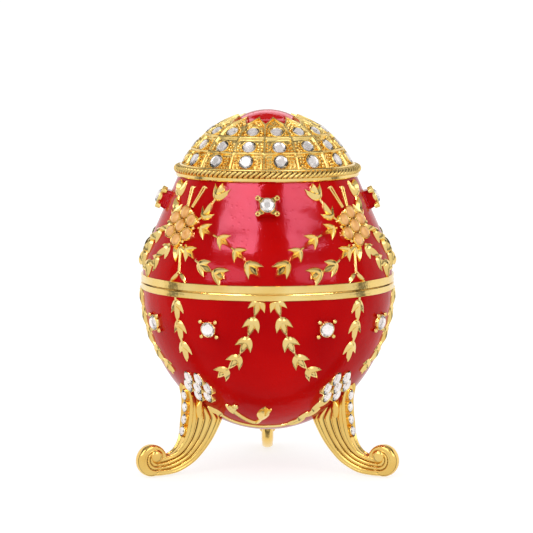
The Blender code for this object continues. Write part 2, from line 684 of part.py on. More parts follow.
# Peach flowers of the lid and marquise flowers of the bowl
names = ("front_right", "back_right", "front_left", "back_left")
lid_flower = rosette_mesh("lid_flower", PETAL_PITCH + PETAL_RADIUS, PETAL_PITCH, PETAL_HEIGHT, PETAL_RADIUS)
for name, (azimuth, z) in zip(names, flower_spots):
    frame = surface_frame(lid_radius, azimuth, z, FLOWER_BOSS_HEIGHT + STONE_GAP)
    stone_object(f"lid_flower_{name}", lid_flower, frame, parts, peach)
bowl_flower = rosette_mesh("bowl_flower", MARQUISE_PITCH + MARQUISE_WIDTH / 2, MARQUISE_PITCH,
                           MARQUISE_HEIGHT, MARQUISE_WIDTH / 2)
for name, spots_around in zip(names, around([(BOWL_STATION, BOWL_FLOWER_Z)])):
    azimuth, z = spots_around[0]
    frame = surface_frame(bowl_radius, azimuth, z, STONE_GAP)
    stone_object(f"bowl_flower_{name}", bowl_flower, frame, parts, crystal)

# Crystals down each leg's band
rows = leg_rows()
floors = []
for row in rows[slice(*RIDGE_ROWS)]:
    outer, inner = (Vector((point[0], 0, point[1])) for point in row[:2])
    floors.append(outer - (outer - inner).normalized() * LEG_RAIL_HEIGHT)
lengths = [0.0]
for one, two in zip(floors, floors[1:]):
    lengths.append(lengths[-1] + (two - one).length)
ridge_stone = crystal_mesh("ridge_crystal", RIDGE_STONE_WIDTH / 2, RIDGE_STONE_HEIGHT, 6,
                           RIDGE_STONE_LENGTH / RIDGE_STONE_WIDTH)
for side, azimuth in LEG_AZIMUTHS.items():
    turn = Matrix.Rotation(math.radians(azimuth - 90), 4, "Z")
    for n in range(RIDGE_STONES):
        want = lengths[-1] * (n + 0.5) / RIDGE_STONES
        k = next(i for i in range(1, len(lengths)) if lengths[i] >= want)
        share = (want - lengths[k - 1]) / (lengths[k] - lengths[k - 1])
        along = (floors[k] - floors[k - 1]).normalized()
        normal = Vector((-along.z, 0, along.x)) * (1 if along.z < 0 else -1)
        place = floors[k - 1].lerp(floors[k], share) + normal * STONE_GAP
        frame = Matrix((Vector((0, 1, 0)), -along, normal)).transposed().to_4x4()
        frame.translation = place * MM
        stone_object(f"leg_{side}_crystal_{n + 1}", ridge_stone, turn @ frame, parts, crystal)
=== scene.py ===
"""Jewelled egg trinket box: detailed pieces, materials, light and camera."""
import random
from math import copysign, cos, exp, hypot, pi, radians, sin, sqrt, tan

import bmesh
import bpy
from mathutils import Matrix, Vector


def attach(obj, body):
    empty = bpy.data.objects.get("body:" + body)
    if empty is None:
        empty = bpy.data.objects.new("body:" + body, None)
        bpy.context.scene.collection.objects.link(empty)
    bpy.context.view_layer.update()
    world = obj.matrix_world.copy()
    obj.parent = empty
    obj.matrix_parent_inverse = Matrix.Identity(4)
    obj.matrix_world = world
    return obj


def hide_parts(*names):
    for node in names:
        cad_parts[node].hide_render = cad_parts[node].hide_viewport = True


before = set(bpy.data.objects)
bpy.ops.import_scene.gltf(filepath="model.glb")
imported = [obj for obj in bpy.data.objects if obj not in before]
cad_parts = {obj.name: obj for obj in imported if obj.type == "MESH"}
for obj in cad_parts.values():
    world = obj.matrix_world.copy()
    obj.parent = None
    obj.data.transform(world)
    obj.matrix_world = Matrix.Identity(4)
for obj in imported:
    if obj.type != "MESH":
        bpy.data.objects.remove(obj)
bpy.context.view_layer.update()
scene = bpy.context.scene

MM = 0.001

# The egg's sizes in millimetres, as in the solids
FIT_GAP = 0.3
TOTAL_HEIGHT = 75.0
PARTING = 39.1
EGG_RADIUS = 26.1
BOWL_DEPTH = 30.5
BOWL_CENTRE = PARTING - 0.5
WALL = 2.0
LID_BOTTOM = PARTING + FIT_GAP
LID_EDGE_TOP = LID_BOTTOM + 1.6
SHOULDER_RISE = 9.0
SHOULDER_ANGLE = radians(23.7)
SHOULDER_RADIUS = SHOULDER_RISE / sin(SHOULDER_ANGLE)
SHOULDER_TOP = LID_BOTTOM + SHOULDER_RISE
DOME_RADIUS = 19.75
DOME_CENTRE = TOTAL_HEIGHT - DOME_RADIUS
ROPE_Z = TOTAL_HEIGHT - 12.2
BAND_RADIUS = EGG_RADIUS + 0.3
AXIS_Y = -2.275

# Stations of the pattern
COLUMNS = 15
PHASE = 9.5
LID_STATION = 49.5
LID_FLOWER_Z = 51.9
LID_CRYSTAL_Z = 56.25
BOWL_STATION = 44.5
BOWL_FLOWER_Z = 18.9
BOWL_CRYSTAL_Z = 31.9
BOWL_CRYSTAL_AZIMUTHS = (27.6, 64.0)

# Steps, depths and gaps that the shapes share
SLOPE_STEP = 0.05
KNOT_STEPS = 16
ACROSS = 7
SUNK = 0.35
STEM_SUNK = 0.3
FOIL_GAP = 0.08
STONE_SIDES = 8

rng = random.Random(7)


def bowl_radius(z):
    """Reach of the bowl's outside from the egg's axis at a height."""
    share = min(1.0, abs(z - BOWL_CENTRE) / BOWL_DEPTH)
    return EGG_RADIUS * sqrt(max(0.0, 1 - share * share))


def wall_radius(z):
    """Reach of the lid's wall: an arc over the rim, then a straight cone."""
    rise = z - LID_BOTTOM
    if rise <= SHOULDER_RISE:
        return EGG_RADIUS - SHOULDER_RADIUS + sqrt(SHOULDER_RADIUS ** 2 - max(0, rise) ** 2)
    bend = SHOULDER_RADIUS * (1 - cos(SHOULDER_ANGLE))
    return EGG_RADIUS - bend - tan(SHOULDER_ANGLE) * (z - SHOULDER_TOP)


def dome_radius(z):
    rise = min(DOME_RADIUS, z - DOME_CENTRE)
    return sqrt(max(0.0, DOME_RADIUS ** 2 - rise ** 2))


def lid_radius(z):
    return wall_radius(z) if z < ROPE_Z else dome_radius(z)


def surface_frame(radius_at, azimuth, z):
    """Matrix on the egg in millimetres: X sideways, Y up along it, Z out of it."""
    turn = radians(azimuth)
    out = Vector((sin(turn), -cos(turn), 0))
    side = Vector((cos(turn), sin(turn), 0))
    slope = (radius_at(z + SLOPE_STEP) - radius_at(z - SLOPE_STEP)) / (2 * SLOPE_STEP)
    up = (out * slope + Vector((0, 0, 1))).normalized()
    normal = side.cross(up)
    matrix = Matrix((side, up, normal)).transposed().to_4x4()
    matrix.translation = out * radius_at(z) + Vector((0, 0, z))
    return matrix


def dome_frame(azimuth, polar):
    """Frame on the dome's sphere at a polar angle in degrees from the top."""
    z = DOME_CENTRE + DOME_RADIUS * cos(radians(polar))
    return surface_frame(dome_radius, azimuth, z)


def tilt(angle, axis):
    return Matrix.Rotation(angle, 4, axis)


def raised(z):
    return Matrix.Translation((0, 0, z))


def finish_piece(name, bm, material, nodes=(), smooth=35.0):
    """Turn a bmesh in millimetres round the egg's axis into a piece of the model."""
    bmesh.ops.recalc_face_normals(bm, faces=bm.faces[:])
    bmesh.ops.scale(bm, vec=(MM, MM, MM), verts=bm.verts[:])
    bmesh.ops.translate(bm, vec=(0, AXIS_Y * MM, 0), verts=bm.verts[:])
    mesh = bpy.data.meshes.new(name)
    bm.to_mesh(mesh)
    bm.free()
    piece = bpy.data.objects.new(name, mesh)
    scene.collection.objects.link(piece)
    mesh.materials.append(material)
    if smooth:
        mesh.shade_smooth()
        mesh.set_sharp_from_angle(angle=radians(smooth))
    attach(piece, "root")
    if nodes:
        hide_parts(*nodes)
    return piece


def add_grid(bm, rows, close_ends=False):
    """Faces through rows of points, each of which closes on itself."""
    verts = [[bm.verts.new(point) for point in row] for row in rows]
    for low, high in zip(verts, verts[1:]):
        count = len(low)
        for i in range(count):
            j = (i + 1) % count
            bm.faces.new((low[i], low[j], high[j], high[i]))
    if close_ends:
        bm.faces.new(verts[0][::-1])
        bm.faces.new(verts[-1])
    return verts


def add_turned(bm, profile, segments=180, matrix=Matrix(), closed=False):
    """Turned surface from (radius, height) points round a frame's Z."""
    rings = []
    for radius, level in profile:
        turns = [2 * pi * i / segments for i in range(segments)] if radius > 1e-6 else [0.0]
        rings.append([bm.verts.new(matrix @ Vector((radius * sin(turn), -radius * cos(turn), level)))
                      for turn in turns])
    pairs = list(zip(rings, rings[1:]))
    if closed:
        pairs.append((rings[-1], rings[0]))
    for low, high in pairs:
        for i in range(segments):
            j = (i + 1) % segments
            if len(low) == 1:
                bm.faces.new((low[0], high[j], high[i]))
            elif len(high) == 1:
                bm.faces.new((low[i], low[j], high[0]))
            else:
                bm.faces.new((low[i], low[j], high[j], high[i]))


def add_ball(bm, centre, radius, squash, detail, matrix):
    """Small round bead."""
    placed = bmesh.ops.create_icosphere(bm, subdivisions=detail, radius=radius)
    for vert in placed["verts"]:
        vert.co = matrix @ (Vector((vert.co.x, vert.co.y, vert.co.z * squash)) + Vector(centre))


def smooth_rows(rows, steps):
    """Rows of numbers joined by a smooth curve."""
    out = []
    last = len(rows) - 1
    for i in range(last):
        quad = (rows[max(0, i - 1)], rows[i], rows[i + 1], rows[min(last, i + 2)])
        for step in range(steps):
            t = step / steps
            out.append([q + ((r - p) * t + (2 * p - 5 * q + 4 * r - s) * t * t
                             + (3 * q - p - 3 * r + s) * t ** 3) / 2 for p, q, r, s in zip(*quad)])
    out.append(rows[-1])
    return out


class Path:
    """Smooth line on the egg through (azimuth, height) knots, measured in millimetres."""

    def __init__(self, radius_at, knots):
        self.frames = [surface_frame(radius_at, az, z) for az, z in smooth_rows(knots, KNOT_STEPS)]
        self.marks = [0.0]
        for one, two in zip(self.frames, self.frames[1:]):
            self.marks.append(self.marks[-1] + (two.translation - one.translation).length)
        self.length = self.marks[-1]

    def at(self, s, v, h):
        """Point at distance s along, v sideways and h above the surface."""
        s = max(0.0, min(self.length, s))
        k = 1
        while k < len(self.marks) - 1 and self.marks[k] < s:
            k += 1
        span = self.marks[k] - self.marks[k - 1]
        share = (s - self.marks[k - 1]) / max(1e-9, span)
        one, two = self.frames[k - 1], self.frames[k]
        place = one.translation.lerp(two.translation, share)
        normal = one.col[2].to_3d().lerp(two.col[2].to_3d(), share).normalized()
        ahead = (two.translation - one.translation).normalized()
        side = ahead.cross(normal).normalized()
        return place + side * v + normal * (h - v * v / 50)


def domed(height_at):
    """Shares across a domed strip with their heights, and two sunk points beneath it."""
    shares = [2 * j / (ACROSS - 1) - 1 for j in range(ACROSS)]
    return [(q, height_at(abs(q))) for q in shares] + [(0.7, -SUNK), (-0.7, -SUNK)]


def add_leaf(bm, path, start, aim, length, width, height, ridge=0.35, steps=9):
    """Pointed domed leaf from a point (s, v) on a path, aimed at an angle in degrees."""
    turn = radians(aim)
    ahead = (cos(turn), sin(turn))
    rows = []
    for i in range(steps + 1):
        u = i / steps
        half = width / 2 * (sin(pi * min(1, 0.08 + 0.92 * u) ** 0.8) ** 0.75) + 0.02
        lift = height * (0.35 + 0.65 * sin(pi * (0.12 + 0.8 * u)) ** 0.8)
        levels = domed(lambda q: lift * (1 - q ** 2.4) + ridge * lift * max(0, 1 - q * 3.2) - 0.05)
        rows.append([path.at(start[0] + ahead[0] * u * length - ahead[1] * q * half,
                             start[1] + ahead[1] * u * length + ahead[0] * q * half, h) for q, h in levels])
    add_grid(bm, rows, close_ends=True)


def add_stem(bm, path, s0, s1, width, height, v0=0.0, v1=0.0, steps=10):
    """Half-round wire that lies on the surface between two distances."""
    rows = []
    for i in range(steps + 1):
        u = i / steps
        s = s0 + (s1 - s0) * u
        v = v0 + (v1 - v0) * u
        row = [path.at(s, v + width / 2 * cos(a), height * sin(a))
               for a in (pi * k / 6 for k in range(7))]
        rows.append(row + [path.at(s, v + side * width / 3, -STEM_SUNK) for side in (-1, 1)])
    add_grid(bm, rows, close_ends=True)


def around(knots):
    """The same knots in each quarter of the egg: front and back, right and then left."""
    for sign in (1, -1):
        yield [(sign * az, z) for az, z in knots]
        yield [(sign * (180 - az), z) for az, z in knots]


def frames_around(radius_at, azimuth, z):
    for [spot] in around([(azimuth, z)]):
        yield surface_frame(radius_at, *spot)


def add_stone(bm, matrix, radius, crown, pavilion, stretch=1.0, taper=0.0):
    """Cut stone: table, crown facets, girdle and pavilion as one convex form."""
    points = []
    rings = ((0.52, crown, 0), (0.8, 0.62 * crown, 0.5), (1.0, 0.12 * crown, 0), (1.0, -0.08 * crown, 0),
             (0.55, -0.55 * pavilion, 0.5), (0.1, -pavilion, 0))
    for share, level, phase in rings:
        count = STONE_SIDES * 2 if share == 1.0 else STONE_SIDES
        for i in range(count):
            turn = 2 * pi * (i + phase) / count
            x, y = radius * share * cos(turn), radius * share * stretch * sin(turn)
            x *= 1 - taper * (abs(y) / (radius * stretch)) ** 2.2
            points.append(bm.verts.new(matrix @ Vector((x, y, level))))
    made = bmesh.ops.convex_hull(bm, input=points)
    inner = [part for part in made["geom_interior"] if isinstance(part, bmesh.types.BMVert)]
    bmesh.ops.delete(bm, geom=inner, context="VERTS")


def add_backed_stone(stones, foils, seat, radius, crown, pavilion, foil_top, foil_depth,
                     turn=0.0, stretch=1.0, taper=0.0):
    """Cut stone with a bright foil just behind it."""
    add_stone(stones, seat, radius, crown, pavilion, stretch, taper)
    behind = seat @ raised(-FOIL_GAP) @ tilt(turn, "Z")
    add_stone(foils, behind, radius, foil_top, foil_depth, stretch, taper)


def add_cup(bm, matrix, radius, low, high, wall, stretch=1.0, taper=0.0, floor=None, segments=28):
    """Thin cup with a rounded lip round a stone."""
    profile = [(radius + 1.3 * wall, low), (radius + 1.1 * wall, (low + high) / 2),
               (radius + wall, high - 0.12), (radius + 0.6 * wall, high),
               (radius + 0.15 * wall, high - 0.05), (radius - 0.02, high - 0.3),
               (0.8 * radius, low if floor is None else floor)]
    rows = []
    for reach, level in profile:
        row = []
        for i in range(segments):
            turn = 2 * pi * i / segments
            x, y = reach * cos(turn), reach * sin(turn) + (stretch - 1) * radius * sin(turn)
            x *= 1 - taper * abs(sin(turn)) ** 2.2
            row.append(matrix @ Vector((x, y, level)))
        rows.append(row)
    add_grid(bm, rows, close_ends=True)


# Materials
def node_material(name):
    material = bpy.data.materials.new(name)
    material.use_nodes = True
    tree = material.node_tree
    shader = tree.nodes["Principled BSDF"]
    coords = tree.nodes.new("ShaderNodeTexCoord")
    return material, tree, shader, coords


def join(tree, source, output, target, entry):
    tree.links.new(source.outputs[output], target.inputs[entry])


def add_mix(tree):
    mix = tree.nodes.new("ShaderNodeMix")
    mix.data_type = "RGBA"
    return mix


def set_inputs(node, values):
    for name, value in values.items():
        node.inputs[name].default_value = value


def add_noise(tree, coords, scale, detail):
    noise = tree.nodes.new("ShaderNodeTexNoise")
    set_inputs(noise, {"Scale": scale, "Detail": detail})
    join(tree, coords, "Object", noise, "Vector")
    return noise


def add_ramp(tree, source, stops):
    """Colours along a value, from stops of a position and a colour."""
    ramp = tree.nodes.new("ShaderNodeValToRGB")
    elements = ramp.color_ramp.elements
    while len(elements) < len(stops):
        elements.new(0.5)
    for element, (position, colour) in zip(elements, stops):
        element.position = position
        element.color = (*colour, 1)
    tree.links.new(source, ramp.inputs["Fac"])
    return ramp


def add_bump(tree, source, shader, strength, distance, before=None):
    bump = tree.nodes.new("ShaderNodeBump")
    set_inputs(bump, {"Strength": strength, "Distance": distance})
    tree.links.new(source, bump.inputs["Height"])
    if before:
        join(tree, before, "Normal", bump, "Normal")
    join(tree, bump, "Normal", shader, "Normal")
    return bump


def gold_material(name, low, high, roughness, pits=0.5, groove_shade_colour=None):
    """Polished gold plating with a soft tone change, fine pits and casting waves, and painted shade in the
    grooves when given a shade colour.
    """
    material, tree, shader, coords = node_material(name)
    tone = add_noise(tree, coords, 160, 3)
    ramp = add_ramp(tree, tone.outputs["Fac"], [(0.3, low), (0.7, high)])
    colour = ramp.outputs["Color"]
    # Painted shade: the colour darkens towards the shade colour where the groove attribute is high, in the
    # deep grooves' bottoms, with their dark patina
    if groove_shade_colour:
        groove = tree.nodes.new("ShaderNodeAttribute")
        groove.attribute_name = "groove"
        depth = add_ramp(tree, groove.outputs["Fac"], [(0.3, (0, 0, 0)), (0.75, (1, 1, 1))])
        blend = add_mix(tree)
        join(tree, depth, "Color", blend, "Factor")
        tree.links.new(colour, blend.inputs["A"])
        blend.inputs["B"].default_value = (*groove_shade_colour, 1)
        colour = blend.outputs["Result"]
    tree.links.new(colour, shader.inputs["Base Color"])
    shader.inputs["Metallic"].default_value = 1.0
    rough = add_noise(tree, coords, 900, 2)
    span = tree.nodes.new("ShaderNodeMapRange")
    set_inputs(span, {"To Min": 0.6 * roughness, "To Max": 1.5 * roughness})
    join(tree, rough, "Fac", span, "Value")
    join(tree, span, "Result", shader, "Roughness")
    waves = add_noise(tree, coords, 420, 2)
    first = add_bump(tree, waves.outputs["Fac"], shader, 0.35 * pits, 0.0004)
    fine = add_noise(tree, coords, 2600, 2)
    add_bump(tree, fine.outputs["Fac"], shader, 0.3 * pits, 0.0001, first)
    return material


def enamel_material(name, deep, bright):
    """Glossy fired enamel with colour clouds, an uneven skin and pinholes."""
    material, tree, shader, coords = node_material(name)
    clouds = add_noise(tree, coords, 70, 3)
    ramp = add_ramp(tree, clouds.outputs["Fac"], [(0.32, deep), (0.72, bright)])
    join(tree, ramp, "Color", shader, "Base Color")
    set_inputs(shader, {"Roughness": 0.12, "Specular IOR Level": 0.085,
                        "Specular Tint": (1.0, 0.33, 0.52, 1)})
    skin = add_noise(tree, coords, 150, 2)
    first = add_bump(tree, skin.outputs["Fac"], shader, 0.34, 0.0006)
    pits = tree.nodes.new("ShaderNodeTexVoronoi")
    pits.inputs["Scale"].default_value = 900
    join(tree, coords, "Object", pits, "Vector")
    depth = add_ramp(tree, pits.outputs["Distance"], [(0.0, (0, 0, 0)), (0.28, (1, 1, 1))])
    add_bump(tree, depth.outputs["Color"], shader, 0.24, 0.0001, first)
    return material


def tinted_material(name, scale, detail, low, high, ends=(0.3, 0.7)):
    """Material whose colour drifts softly between two tones."""
    material, tree, shader, coords = node_material(name)
    tint = add_noise(tree, coords, scale, detail)
    ramp = add_ramp(tree, tint.outputs["Fac"], list(zip(ends, (low, high))))
    join(tree, ramp, "Color", shader, "Base Color")
    return material, tree, shader, tint


def finish_stones(name, foil_name, stones, foils, nodes):
    finish_piece(name, stones, crystal, nodes, 0)
    finish_piece(foil_name, foils, foil, smooth=0)


# Painted shade colours for the deep grooves of the legs and the rope, with their dark patina
LEG_GROOVE_SHADE = (0.05, 0.018, 0.004)
ROPE_GROOVE_SHADE = (0.10, 0.04, 0.008)
gold = gold_material("gold", (0.93, 0.63, 0.19), (1.0, 0.77, 0.31), 0.15)
gold_leg = gold_material("gold_leg", (0.90, 0.56, 0.14), (1.0, 0.70, 0.22), 0.13, 0.35, LEG_GROOVE_SHADE)
gold_orange = gold_material("gold_lattice", (0.90, 0.58, 0.15), (1.0, 0.76, 0.29), 0.2, 0.9)
gold_rope = gold_material("gold_rope", (0.84, 0.54, 0.14), (0.98, 0.72, 0.26), 0.18, 0.6, ROPE_GROOVE_SHADE)
enamel = enamel_material("red_enamel", (0.34, 0.001, 0.001), (0.45, 0.003, 0.002))

crystal, tree, shader, tint = tinted_material("crystal", 300, 1, (0.99, 0.96, 0.95), (1.0, 1.0, 1.0))
set_inputs(shader, {"Roughness": 0.02, "IOR": 1.56, "Transmission Weight": 1.0})

foil, tree, shader, tint = tinted_material("stone_foil", 500, 2, (0.84, 0.79, 0.77), (0.97, 0.94, 0.92))
set_inputs(shader, {"Metallic": 1.0, "Roughness": 0.12})

peach, tree, shader, tint = tinted_material("peach_stone", 700, 3, (0.58, 0.25, 0.045), (0.80, 0.44, 0.15),
                                            (0.32, 0.68))
set_inputs(shader, {"Roughness": 0.32, "Specular IOR Level": 0.5, "Coat Weight": 0.25})
add_bump(tree, tint.outputs["Fac"], shader, 0.3, 0.0001)

# Bowl: enamelled shell, its gold rim and its gold-plated inside
LIP_WIDTH = 1.0
LIP_RADIUS = BAND_RADIUS - LIP_WIDTH - FIT_GAP
LIP_TOP = PARTING + 1.6
BOWL_EDGE_TURN = 88.0


def plate_inside(piece, centre, top=TOTAL_HEIGHT):
    """Give gold to faces that look in towards a height on the axis, and to those above a top."""
    piece.data.materials.append(gold)
    for face in piece.data.polygons:
        middle = face.center
        away = Vector((middle.x, middle.y - AXIS_Y * MM, middle.z - centre * MM))
        if face.normal.dot(away) < 0 or middle.z > top * MM:
            face.material_index = 1


# Shell from the bottom of the inside, over the lip and down the outside
inside = [(0, BOWL_CENTRE - BOWL_DEPTH + WALL)]
for i in range(1, 25):
    run = radians(90 * i / 24)
    inside.append(((EGG_RADIUS - WALL) * sin(run),
                   BOWL_CENTRE - (BOWL_DEPTH - WALL) * cos(run)))
lip = [(EGG_RADIUS - WALL, LIP_TOP - 0.1), (EGG_RADIUS - WALL + 0.15, LIP_TOP),
       (LIP_RADIUS - 0.15, LIP_TOP), (LIP_RADIUS, LIP_TOP - 0.15), (LIP_RADIUS, PARTING - 0.1),
       (EGG_RADIUS - 0.1, PARTING - 0.1), (EGG_RADIUS - 0.02, PARTING - 0.2)]
outside = []
for i in range(61):
    run = radians(BOWL_EDGE_TURN * (1 - i / 60))
    outside.append((EGG_RADIUS * sin(run), BOWL_CENTRE - BOWL_DEPTH * cos(run)))
bm = bmesh.new()
add_turned(bm, inside + lip + outside)
bowl = finish_piece("bowl_shell", bm, enamel, ["bowl"])
plate_inside(bowl, BOWL_CENTRE, PARTING - 0.4)


def make_band(name, low, high, inner):
    """Rounded rim band with a fine groove round its middle."""
    middle = (low + high) / 2
    profile = [(inner, low), (BAND_RADIUS - 0.12, low), (BAND_RADIUS - 0.02, low + 0.1),
               (BAND_RADIUS, low + 0.28), (BAND_RADIUS - 0.1, middle - 0.04),
               (BAND_RADIUS - 0.1, middle + 0.04), (BAND_RADIUS, high - 0.28),
               (BAND_RADIUS - 0.02, high - 0.1), (BAND_RADIUS - 0.12, high), (inner, high)]
    bm = bmesh.new()
    add_turned(bm, profile, closed=True)
    finish_piece(name, bm, gold)


make_band("bowl_rim_band", PARTING - 1.2, PARTING, EGG_RADIUS - 0.8)
make_band("lid_rim_band", LID_BOTTOM, LID_EDGE_TOP, EGG_RADIUS - 0.6)

# Lid: enamelled wall up to the rope, with its gold-plated inside
UNDER_LATTICE = 1.2
LID_INSIDE_TOP = 60
LID_LOOK_CENTRE = 45

# Shell from under the lattice, down the wall, over its edge and up the inside
hidden = DOME_CENTRE + sqrt((DOME_RADIUS - UNDER_LATTICE) ** 2 - 12.0 ** 2)
outside = [(0, TOTAL_HEIGHT - 1.4), (5.0, TOTAL_HEIGHT - 2.2), (12.0, hidden), (17.4, 62.2)]
for i in range(41):
    z = ROPE_Z - 0.4 + (LID_BOTTOM + 0.2 - ROPE_Z + 0.4) * i / 40
    outside.append((wall_radius(z), z))
inside = [(BAND_RADIUS - 0.9, LID_BOTTOM + 0.2), (BAND_RADIUS - 1.0, LID_BOTTOM + 0.3),
          (BAND_RADIUS - 1.0, LID_EDGE_TOP), (EGG_RADIUS - WALL, LID_EDGE_TOP + 0.1)]
foot = LID_BOTTOM + 2.2
for i in range(12):
    z = foot + (LID_INSIDE_TOP - foot) * i / 11
    inside.append((wall_radius(z) - WALL, z))
for i in range(1, 13):
    run = radians(72 * (1 - i / 12))
    inside.append(((DOME_RADIUS - WALL) * sin(run),
                   DOME_CENTRE + (DOME_RADIUS - WALL) * cos(run)))
bm = bmesh.new()
add_turned(bm, outside + inside)
lid = finish_piece("lid_shell", bm, enamel, ["lid"])
plate_inside(lid, LID_LOOK_CENTRE)

# Dome: gold lattice with sunk cells, crossed by ribs and ring lines
EDGE_POLAR = 66.1
RINGS = (53.1, 41.0)
TIP_POLAR = 18.6
NOTCH_POLAR = 28.4
CELL_DEPTH = 0.6
RIB_HALF = 0.33
LINE_HALF = 0.36
ARCH_BORDER = 0.4
LATTICE_ROWS = 110
LATTICE_STEPS = 32


def column_share(azimuth):
    """Distance from the nearest column's middle, in shares of a column."""
    share = (azimuth - PHASE) / (360 / COLUMNS)
    return share - round(share)


def arch_polar(share):
    """Upper edge of the lattice: a pointed arch over each column."""
    return TIP_POLAR + (NOTCH_POLAR - TIP_POLAR) * (abs(share) * 2) ** 0.9


def lattice_height(azimuth, polar):
    """Height above the cells' floors, from the distances to ribs, ring lines and arches."""
    share = column_share(azimuth)
    width = 2 * pi * DOME_RADIUS * sin(radians(polar)) / COLUMNS
    to_rib = (0.5 - abs(share)) * width
    lines = (EDGE_POLAR - 0.9,) + RINGS
    to_line = min(abs(polar - line) for line in lines) * pi / 180 * DOME_RADIUS
    to_arch = (polar - arch_polar(share)) * pi / 180 * DOME_RADIUS
    rib = exp(-(to_rib / RIB_HALF) ** 4)
    line = 0.96 * exp(-(to_line / LINE_HALF) ** 4)
    border = exp(-(max(0, to_arch - ARCH_BORDER) / ARCH_BORDER) ** 4)
    return CELL_DEPTH * max(rib, line, border)


# Relief on the dome's sphere, closed down to the cap along its arches
rows = []
steps = LATTICE_STEPS * COLUMNS
for j in range(LATTICE_ROWS):
    row = []
    for i in range(steps):
        azimuth = PHASE + 360 * i / steps
        arch = arch_polar(column_share(azimuth))
        if j < LATTICE_ROWS - 1:
            polar = EDGE_POLAR + (arch - EDGE_POLAR) * j / (LATTICE_ROWS - 1)
            reach = DOME_RADIUS - CELL_DEPTH + lattice_height(azimuth, polar)
        else:
            polar = arch - 0.3
            reach = DOME_RADIUS - CELL_DEPTH - 0.25
        turn, lean = radians(azimuth), radians(polar)
        across = reach * sin(lean)
        row.append(Vector((across * sin(turn), -across * cos(turn),
                           DOME_CENTRE + reach * cos(lean))))
    rows.append(row)
bm = bmesh.new()
add_grid(bm, rows)
finish_piece("dome_lattice", bm, gold_orange, smooth=50)

# Enamel at the dome's top, which sinks under the lattice's cells
profile = [(0, TOTAL_HEIGHT - 0.02)]
for i in range(1, 25):
    lean = radians(33 * i / 24)
    reach = DOME_RADIUS - (CELL_DEPTH + 0.1) * min(1, i / 13) ** 2
    profile.append((reach * sin(lean), DOME_CENTRE + reach * cos(lean)))
profile += [(8.0, 70.5), (0, 70.5)]
bm = bmesh.new()
add_turned(bm, profile, 120)
cap = finish_piece("dome_enamel_cap", bm, enamel)

# Rope: slanted strands round the foot of the dome, between two thin rings
STRANDS = 104
STRAND_STEPS = 8
STRAND_TWIST = 1.9
STRAND_DEPTH = 0.5
ROPE_RADIUS = 0.86
ROPE_CENTRE = wall_radius(ROPE_Z) + 0.75
ROPE_SIDES = 20
FLANGE_RADIUS = 0.3

# Ring of round section whose surface dips between slanted strands
bm = bmesh.new()
groove = bm.verts.layers.float.new("groove")
steps = STRANDS * STRAND_STEPS
rings = []
for i in range(steps):
    turn = 2 * pi * i / steps
    ring = []
    for j in range(ROPE_SIDES):
        roll = 2 * pi * j / ROPE_SIDES
        lobe = abs(sin(STRANDS * turn / 2 - STRAND_TWIST * sin(roll))) ** 0.9
        lift = ROPE_RADIUS - STRAND_DEPTH * (1 - lobe)
        radius = ROPE_CENTRE + lift * cos(roll)
        vert = bm.verts.new((radius * sin(turn), -radius * cos(turn),
                             ROPE_Z + lift * sin(roll)))
        # Groove depth between the strands, where the rope's gold is darkened as painted shade
        vert[groove] = (1 - lobe) ** 1.3
        ring.append(vert)
    rings.append(ring)
for low, high in zip(rings, rings[1:] + rings[:1]):
    for i in range(ROPE_SIDES):
        j = (i + 1) % ROPE_SIDES
        bm.faces.new((low[i], low[j], high[j], high[i]))
finish_piece("lid_rope", bm, gold_rope, smooth=60)

# Thin round ring above the rope and a flat ledge below it
bm = bmesh.new()
turns = [k * pi / 6 for k in range(12)]
add_turned(bm, [(ROPE_CENTRE - 0.65 + FLANGE_RADIUS * cos(turn),
                 ROPE_Z + 0.8 + FLANGE_RADIUS * sin(turn)) for turn in turns], closed=True)
ledge = wall_radius(61.7) + 0.62
add_turned(bm, [(17.0, 62.3), (ledge - 0.2, 62.25), (ledge, 62.05), (ledge + 0.02, 61.5),
                (ledge - 0.12, 61.3), (17.6, 61.25)], closed=True)
finish_piece("lid_rope_edge", bm, gold)

# Dome crystals sunk in collars, each a little off true, with grains on the cell floors
ROW_POLARS = (59.3, 48.8, 36.6)
ROW_RADII = (1.5, 1.42, 1.3)
GRAIN_RINGS = ((0.44, 0.29), (1.12, 0.33), (1.8, 0.33))
GRAIN_PITCH = 0.8
GRAIN_LEVEL = 0.04 - CELL_DEPTH
CELL_REACH = 1.68
CELL_MARGIN = 0.45
ARCH_GRAINS = 16
ARCH_REACH = 2.6


def add_grains(bm, matrix, radius, half):
    """Rings of small beads round a stone, as far as the cell reaches."""
    for ring, grain in GRAIN_RINGS:
        reach = radius + ring
        count = round(2 * pi * reach / GRAIN_PITCH)
        for k in range(count):
            turn = 2 * pi * (k + rng.uniform(0.3, 0.7)) / count
            x, y = reach * cos(turn), reach * sin(turn)
            if abs(x) < half and abs(y) < CELL_REACH - 0.1 * abs(x):
                add_ball(bm, (x, y, GRAIN_LEVEL), grain * rng.uniform(0.8, 1.15), 1.0, 1, matrix)


def add_arch_grains(bm, matrix, half):
    """Beads scattered up the narrowing arch above a stone of the highest row."""
    for k in range(ARCH_GRAINS):
        rise = ARCH_REACH * k / (ARCH_GRAINS - 1)
        y = 1.8 + rise
        reach = max(0.1, half - 0.3 - 0.52 * rise)
        spot = (reach * rng.uniform(-1, 1), y, GRAIN_LEVEL - y * y / 40)
        add_ball(bm, spot, rng.uniform(0.26, 0.34), 1.0, 1, matrix)


